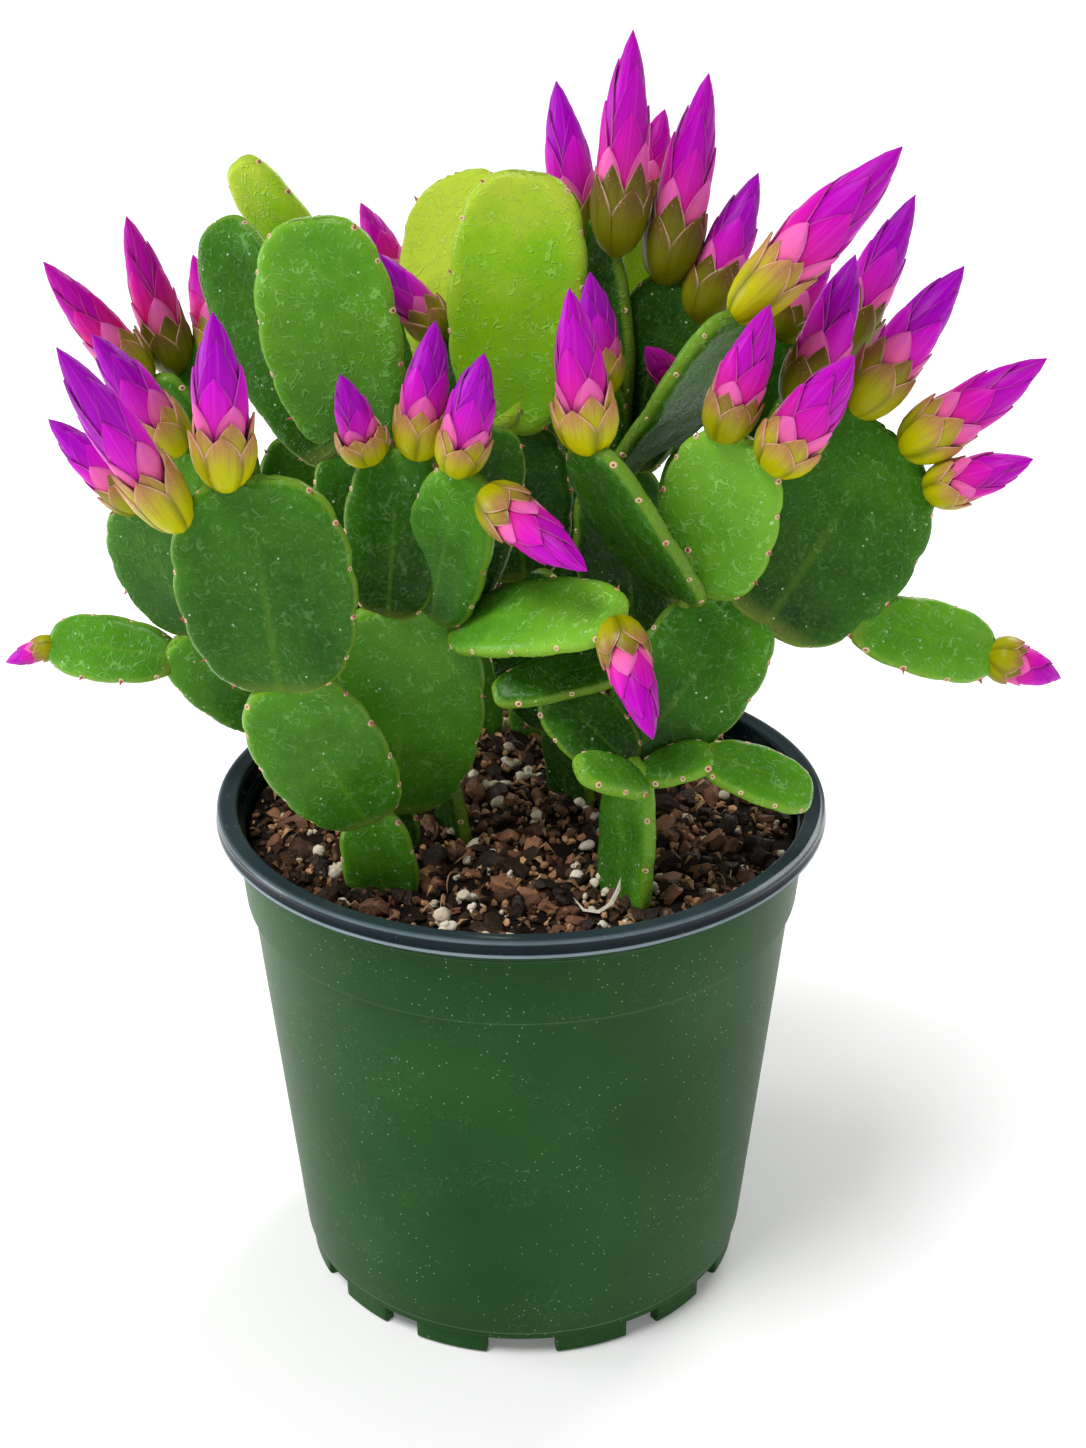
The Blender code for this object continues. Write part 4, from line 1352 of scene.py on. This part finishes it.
CUP_WHORLS = (
    Whorl(5, 0.1, 0.42, 38.0, 0.94, 0.04, 4.0, 0.0, 0.55, 0.7, 1.5),
    Whorl(5, 0.0, 0.36, 41.0, 1.03, 0.06, 3.0, 0.01, 0.46, 0.0, 1.5),
)
PETAL_WHORLS = (
    Whorl(3, 0.22, 1.0, 80.0, 0.65, 0.03, 90.0, 0.0, 0.0, 1.0),
    Whorl(3, 0.22, 0.975, 67.0, 0.74, 0.04, 30.0, -0.03, 0.62, 0.96),
    Whorl(3, 0.21, 0.85, 65.0, 0.83, 0.04, 20.0, -0.03, 0.6, 0.78),
    Whorl(4, 0.2, 0.69, 50.0, 0.92, 0.04, 12.0, -0.03, 0.6, 0.46),
    Whorl(4, 0.19, 0.515, 41.0, 1.01, 0.03, 8.0, -0.03, 0.66, 0.06),
)


@dataclass
class BudShape:
    """Blades wrapped round a bud's axis along its barrel and spindle outlines."""

    cup_outline: tuple = (
        (0.0, 0.17), (0.02, 0.38), (0.06, 0.61), (0.12, 0.79), (0.2, 0.9), (0.28, 0.925),
        (0.35, 0.91), (0.42, 0.9),
    )
    petal_outline: tuple = (
        (0.19, 0.62), (0.28, 0.73), (0.38, 0.81), (0.5, 0.84), (0.6, 0.83), (0.68, 0.78),
        (0.76, 0.7), (0.84, 0.57), (0.92, 0.37), (0.97, 0.19), (1.0, 0.02),
    )
    slant: float = 0.016
    squeeze: tuple = (0.3, 0.5)
    stagger: float = 0.8
    across_steps: int = 5
    along_steps: int = 12

    def wrap(
        self,
        piece: Piece,
        place: Matrix,
        length: float,
        radius: float,
        whorls: Sequence[Whorl],
        outline: tuple,
        tones: tuple[float, float],
        draw: random.Random,
        turn: float,
        hue: float,
        grip: float,
    ) -> None:
        """Wrap whorls of blades round a bud.

        Args:
            piece: The piece that the blades are added to.
            place: The bud's place, with +Z along its axis.
            length: The bud's length.
            radius: The bud's greatest radius.
            whorls: The blades, one whorl after another.
            outline: The (height, radius) outline that they follow.
            tones: The number stored for the finish at layer 0, and what layer 1 adds to it.
            draw: The bud's own random draws.
            turn: Where the first blade stands round the axis, in radians.
            hue: How far its colour leans to crimson.
            grip: How narrow the bud is at its foot, against the usual bud.
        """
        heights, radii = zip(*outline)
        order = [(i, n) for i, whorl in enumerate(whorls) for n in range(whorl.count)]
        for row, number in order:
            whorl = whorls[row]
            core = whorl.taper == 0.0
            sway = 0.0 if core else draw.uniform(-0.12, 0.12)
            tone = tones[0] + tones[1] * whorl.layer + draw.uniform(-0.07, 0.07)
            middle = turn + row * self.stagger + math.tau * number / whorl.count + sway
            tip = whorl.tip if core else whorl.tip + draw.uniform(-0.03, 0.03)
            reach = whorl.reach + draw.uniform(-0.012, 0.012)
            steps = {"x_segments": self.across_steps, "y_segments": self.along_steps}
            for vertex in piece.blank(bmesh.ops.create_grid, size=1.0, **steps):
                u = vertex.co.x
                t = 0.5 * (vertex.co.y + 1.0)
                narrow = 0.0 if core else max(0.0, 1.0 - (1.0 - t) / whorl.taper)
                width = max(1.0 - narrow**whorl.convexity, 0.0) ** 0.9
                height = whorl.base + (tip - whorl.base) * t
                angle = middle + math.radians(whorl.twist * t + whorl.spread * u * width)
                out = reach + whorl.keel * (1.0 - u * u) + self.slant * u * width
                out *= float(np.interp(height, heights, radii))
                out *= float(np.interp(height, self.squeeze, (grip, 1.0)))
                out = radius * (out + whorl.flare * t**3)
                local = Vector((out * math.cos(angle), out * math.sin(angle), height * length))
                vertex.co = place @ local
                numbers = {"along": t, "across": u * width, "edge": abs(u), "hue": hue}
                piece.store(vertex, tone=tone, **numbers)


@dataclass
class Plant:
    """The eleven rooted stems with their pads, areoles, bud scales and petals."""

    soil_level: float = 0.125
    root_depth: float = 0.012
    pad_sink: float = 0.0032
    cup_sink: float = 0.0024
    thickness: float = 0.0042
    rounding: float = 0.0026
    pad_sides: int = 28
    rows_per_band: int = 5
    petal_wall: float = 0.00032
    petal_share: float = 0.996
    scale_wall: float = 0.00045
    areole: tuple = (0.00062, 0.00088)
    areole_lift: float = 0.0009
    areole_sink: float = 0.0003
    pointed: float = 0.3
    midrib: tuple = (0.00022, 0.0016)
    bead: tuple = (0.00018, 0.0013, 0.0007)
    dish: tuple = (0.0004, 0.009)
    swell: tuple = (0.0006, 75.0)
    ripple: tuple = (0.00016, 260.0)
    edge_reach: float = 0.01
    # Ellipsoid of the plant's inside and how much the painted shade there darkens the pads.
    inside: tuple = (0.115, 0.072, 0.135)
    inside_height: float = 0.15
    painted_inner_shade: float = 0.24
    margin_samples: int = 90

    def __post_init__(self) -> None:
        """Make the finishes that the stems share."""
        self.pad_skin = PadSkin().material()
        self.scale_skin = ScaleSkin().material()
        self.petal_skin = PetalSkin().material()
        self.areole_skin = AreoleSkin().material()
        self.shape = BudShape()

    def edge_distance(self, frame: PadFrame, points: np.ndarray) -> np.ndarray:
        """Give how far each flat point of a pad is from its outline.

        Args:
            frame: The pad.
            points: Rows of (across, along).

        Returns:
            One distance for each row, in metres.
        """
        angles = np.linspace(0.0, math.pi, self.margin_samples)
        side = np.array([(frame.waved(a), frame.along(a)) for a in angles])
        rim = np.vstack((side, side * (-1.0, 1.0)))
        gaps = points[:, None, :] - rim[None, :, :]
        return np.sqrt((gaps**2).sum(axis=2)).min(axis=1)

    def painted_shade_depth(self, point: Vector) -> float:
        """Give how deep inside the plant a point lies, from 0 at its outside to 1, for the painted
        shade that darkens pads deep inside.
        """
        wide, deep, high = self.inside
        spread = Vector((point.x / wide, point.y / deep, (point.z - self.inside_height) / high))
        return min(max((0.8 - spread.length) / 0.45, 0.0), 1.0)

    def add_pad(self, piece: Piece, frame: PadFrame) -> None:
        """Add one pad: a flat body with a rounded, notched margin and a faint midrib."""
        form = bmesh.ops.create_uvsphere
        rows = self.rows_per_band * frame.bands
        ball = piece.blank(form, u_segments=self.pad_sides, v_segments=rows, radius=1.0)
        flat = []
        sides = []
        for vertex in ball:
            angle = math.acos(max(-1.0, min(1.0, vertex.co.z)))
            turn = math.atan2(vertex.co.y, vertex.co.x)
            flat.append((frame.waved(angle) * math.cos(turn), frame.along(angle)))
            sides.append(math.sin(turn))
        depth = self.edge_distance(frame, np.array(flat))
        for vertex, (across, along), side, edge in zip(ball, flat, sides, depth):
            part = along / frame.length
            near = min(edge / self.rounding, 1.0)
            high, wide = self.midrib
            relief = high * math.exp(-((across / wide) ** 2)) * (1.0 - part) * near
            high, far, wide = self.bead
            relief += high * math.exp(-(((edge - far) / wide) ** 2))
            deep, wide = self.dish
            relief -= deep * min(edge / wide, 1.0)
            half = 0.5 * self.thickness * math.sqrt(max(1.0 - (1.0 - near) ** 2.0, 0.0)) + relief
            sign = 0.0 if abs(side) < 1e-6 else math.copysign(1.0, side)
            off = sign * max(half, 0.0)
            spot = frame.base + Vector((across, along, 0.0))
            for high, scale in (self.swell, self.ripple):
                off += high * noise.noise(spot * scale) * near
            vertex.co = frame.place(across, along, off)
            # Pads deep inside the plant are stored darker: painted shade.
            piece.store(
                vertex,
                tone=frame.tone - self.painted_inner_shade * self.painted_shade_depth(vertex.co),
                along=max(part, 0.5) if frame.rooted else part,
                across=across / frame.half_width,
                edge=min(edge / self.edge_reach, 1.0),
            )

    def add_areole(self, piece: Piece, place: Matrix, radius: float, draw: random.Random) -> None:
        """Add one felted spot, a low ring with a dent, and on some a small pointed scale."""
        ball = piece.blank(bmesh.ops.create_uvsphere, u_segments=8, v_segments=6, radius=1.0)
        stretch = draw.uniform(0.85, 1.25)
        for vertex in ball:
            reach = math.hypot(vertex.co.x, vertex.co.y)
            dent = 0.55 * math.exp(-((reach / 0.45) ** 2)) if vertex.co.z > 0.0 else 0.0
            piece.store(vertex, tone=0.0, along=reach if vertex.co.z > -0.1 else 1.0)
            local = Vector((vertex.co.x * stretch, vertex.co.y, vertex.co.z * 0.55 - dent))
            vertex.co = place @ (local * radius)
        if draw.random() < self.pointed:
            lean = Matrix.Rotation(draw.uniform(-0.7, 0.7), 4, "X")
            cone = piece.blank(
                bmesh.ops.create_cone,
                cap_ends=True,
                segments=5,
                radius1=0.7 * radius,
                radius2=0.08 * radius,
                depth=draw.uniform(1.4, 2.6) * radius,
                matrix=place @ lean @ Matrix.Translation((0.0, 0.0, 0.8 * radius)),
            )
            for vertex in cone:
                piece.store(vertex, tone=1.0, along=1.0)

    def add_areoles(self, piece: Piece, frame: PadFrame, draw: random.Random) -> None:
        """Set a felted spot in each notch of a pad's margin, above the soil."""
        front = 1.0 if frame.normal.y < 0.0 else -1.0
        last = frame.notches - 1 if frame.rooted else frame.notches
        for notch in range(1, last + 1):
            angle = math.tau * notch / frame.bands
            for side in (-1.0, 1.0):
                spot = frame.margin(angle, side, 0.995)
                if spot.z < self.soil_level + 0.002:
                    continue
                along = frame.margin(angle - 0.05, side) - frame.margin(angle + 0.05, side)
                outward = along.normalized().cross(frame.normal) * side
                if outward.dot(frame.across * side) < 0.0:
                    outward = -outward
                aim = (outward + frame.normal * (0.75 * front)).normalized()
                spin = aim.to_track_quat("Z", "Y").to_matrix().to_4x4()
                lift = frame.normal * (self.areole_lift * front) - outward * self.areole_sink
                place = Matrix.Translation(spot + lift) @ spin
                self.add_areole(piece, place, draw.uniform(*self.areole), draw)

    def build_petals(self, bud: Bud, start: Vector, tip: Vector, turn: float) -> None:
        """Make one bud's layers of petals."""
        piece = Piece(f"petals_{bud.number:02d}_layers")
        self.shape.wrap(
            piece,
            upright(start, tip),
            (tip - start).length * self.petal_share,
            0.5 * bud.width * bud.roll * MM,
            PETAL_WHORLS,
            self.shape.petal_outline,
            (0.0, 1.0),
            random.Random(100 + bud.number),
            turn,
            bud.hue.value,
            bud.grip,
        )
        made = piece.finish(self.petal_skin, "petal_skin", 60.0, wall=self.petal_wall)
        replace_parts(made, f"petals_{bud.number:02d}")

    def build_stem(self, stem: Stem) -> None:
        """Make one stem's pads, spots and bud scales, and the petals of each bud."""
        draw = random.Random(stem.name)
        frames = {}
        pads = Piece(stem.name + "_pads")
        spots = Piece(stem.name + "_areoles")
        ground = (self.soil_level - self.root_depth) / MM
        for name, pad in stem.pads.items():
            if pad.parent:
                base = frames[pad.parent].growing_point(pad.spot, self.pad_sink)
            else:
                base = Vector((*stem.root, ground)) * MM
            frames[name] = PadFrame(pad, base)
            self.add_pad(pads, frames[name])
            self.add_areoles(spots, frames[name], draw)
        made = pads.finish(self.pad_skin, "pad_skin", 180.0, weld=WELD)
        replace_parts(made, stem.name)
        spots.finish(self.areole_skin, "pad_skin", 60.0)
        if not stem.buds:
            return
        cups = Piece(stem.name + "_bud_scales")
        for bud in stem.buds:
            start = frames[bud.parent].growing_point(bud.spot, self.cup_sink)
            tip = Vector(bud.tip) * MM
            turn = draw.uniform(0.0, math.tau)
            self.shape.wrap(
                cups,
                upright(start, tip),
                (tip - start).length,
                0.5 * bud.width * MM,
                CUP_WHORLS,
                self.shape.cup_outline,
                (0.9 * bud.blush.value, 0.25),
                draw,
                turn,
                0.0,
                bud.grip,
            )
            self.build_petals(bud, start, tip, turn)
        cups.finish(self.scale_skin, "pad_skin", 60.0, wall=self.scale_wall)

    def build(self) -> None:
        """Make every stem."""
        for stem in STEMS:
            self.build_stem(stem)


@dataclass
class Studio:
    """The pale floor, the soft lights and the camera."""

    floor_radius: float = 6.0
    sweep_height: float = 1.5
    camera_place: Colour = (0.0055, -0.4825, 0.3771)
    camera_pitch: float = 0.438
    lens: float = 52.8
    sky: float = 0.22
    sun: float = 2.2
    sun_softness: float = 24.0
    sun_heading: Colour = (0.42, 0.36, -1.0)
    floor_sides: int = 96
    sensor: float = 36.0
    # Each soft light: its name, place, aim, size, power and colour.
    lamps: tuple = (
        ("side", (-1.1, 0.15, 0.4), (0.0, 0.0, 0.12), 0.45, 6.0, (1.0, 1.0, 1.0)),
        ("back", (0.55, 0.9, 0.95), (0.0, 0.0, 0.22), 0.6, 9.0, (1.0, 1.0, 0.98)),
    )

    def add_light(
        self, name: str, place: Colour, aim: Colour, size: float, power: float, tint: Colour
    ) -> None:
        """Hang one soft square light."""
        lamp = bpy.data.lights.new(name, "AREA")
        lamp.shape = "SQUARE"
        lamp.size = size
        lamp.energy = power
        lamp.color = tint
        made = put(name, lamp)
        made.location = place
        made.rotation_euler = (Vector(aim) - Vector(place)).to_track_quat("-Z", "Y").to_euler()

    def add_floor(self) -> None:
        """Lay the round floor, with a raised sweep at its far edge."""
        floor = bmesh.new()
        bmesh.ops.create_circle(
            floor, cap_ends=True, segments=self.floor_sides, radius=self.floor_radius
        )
        raised = bmesh.ops.extrude_edge_only(floor, edges=floor.edges[:])
        rim = [x for x in raised["geom"] if isinstance(x, bmesh.types.BMVert)]
        bmesh.ops.translate(floor, verts=rim, vec=(0.0, 0.0, self.sweep_height))
        data = bpy.data.meshes.new("studio_floor")
        floor.to_mesh(data)
        floor.free()
        data.materials.append(FloorPaint().material())
        ground = put("studio_floor", data)

    def build(self) -> None:
        """Make the floor, the lights, the sky and the camera."""
        scene = bpy.context.scene
        self.add_floor()
        for lamp in self.lamps:
            self.add_light(*lamp)
        sun = bpy.data.lights.new("window", "SUN")
        sun.energy = self.sun
        sun.angle = math.radians(self.sun_softness)
        window = put("window", sun)
        window.rotation_euler = Vector(self.sun_heading).to_track_quat("-Z", "Y").to_euler()
        world = bpy.data.worlds.new("soft_sky")
        world.use_nodes = True
        backdrop = world.node_tree.nodes["Background"]
        backdrop.inputs["Color"].default_value = (1.0, 1.0, 1.0, 1.0)
        backdrop.inputs["Strength"].default_value = self.sky
        scene.world = world
        scene.view_settings.view_transform = "Standard"
        lens = bpy.data.cameras.new("camera")
        lens.lens = self.lens
        lens.sensor_width = self.sensor
        camera = put("camera", lens)
        camera.location = self.camera_place
        camera.rotation_euler = (0.5 * math.pi - self.camera_pitch, 0.0, 0.0)
        scene.camera = camera


def main() -> None:
    """Load the frame and build every piece over it."""
    logging.basicConfig(level=logging.INFO, format="%(message)s")
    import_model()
    Studio().build()
    NurseryPot().build()
    PottingMix().build()
    Plant().build()
    bpy.context.view_layer.update()


if __name__ == "__main__":
    main()
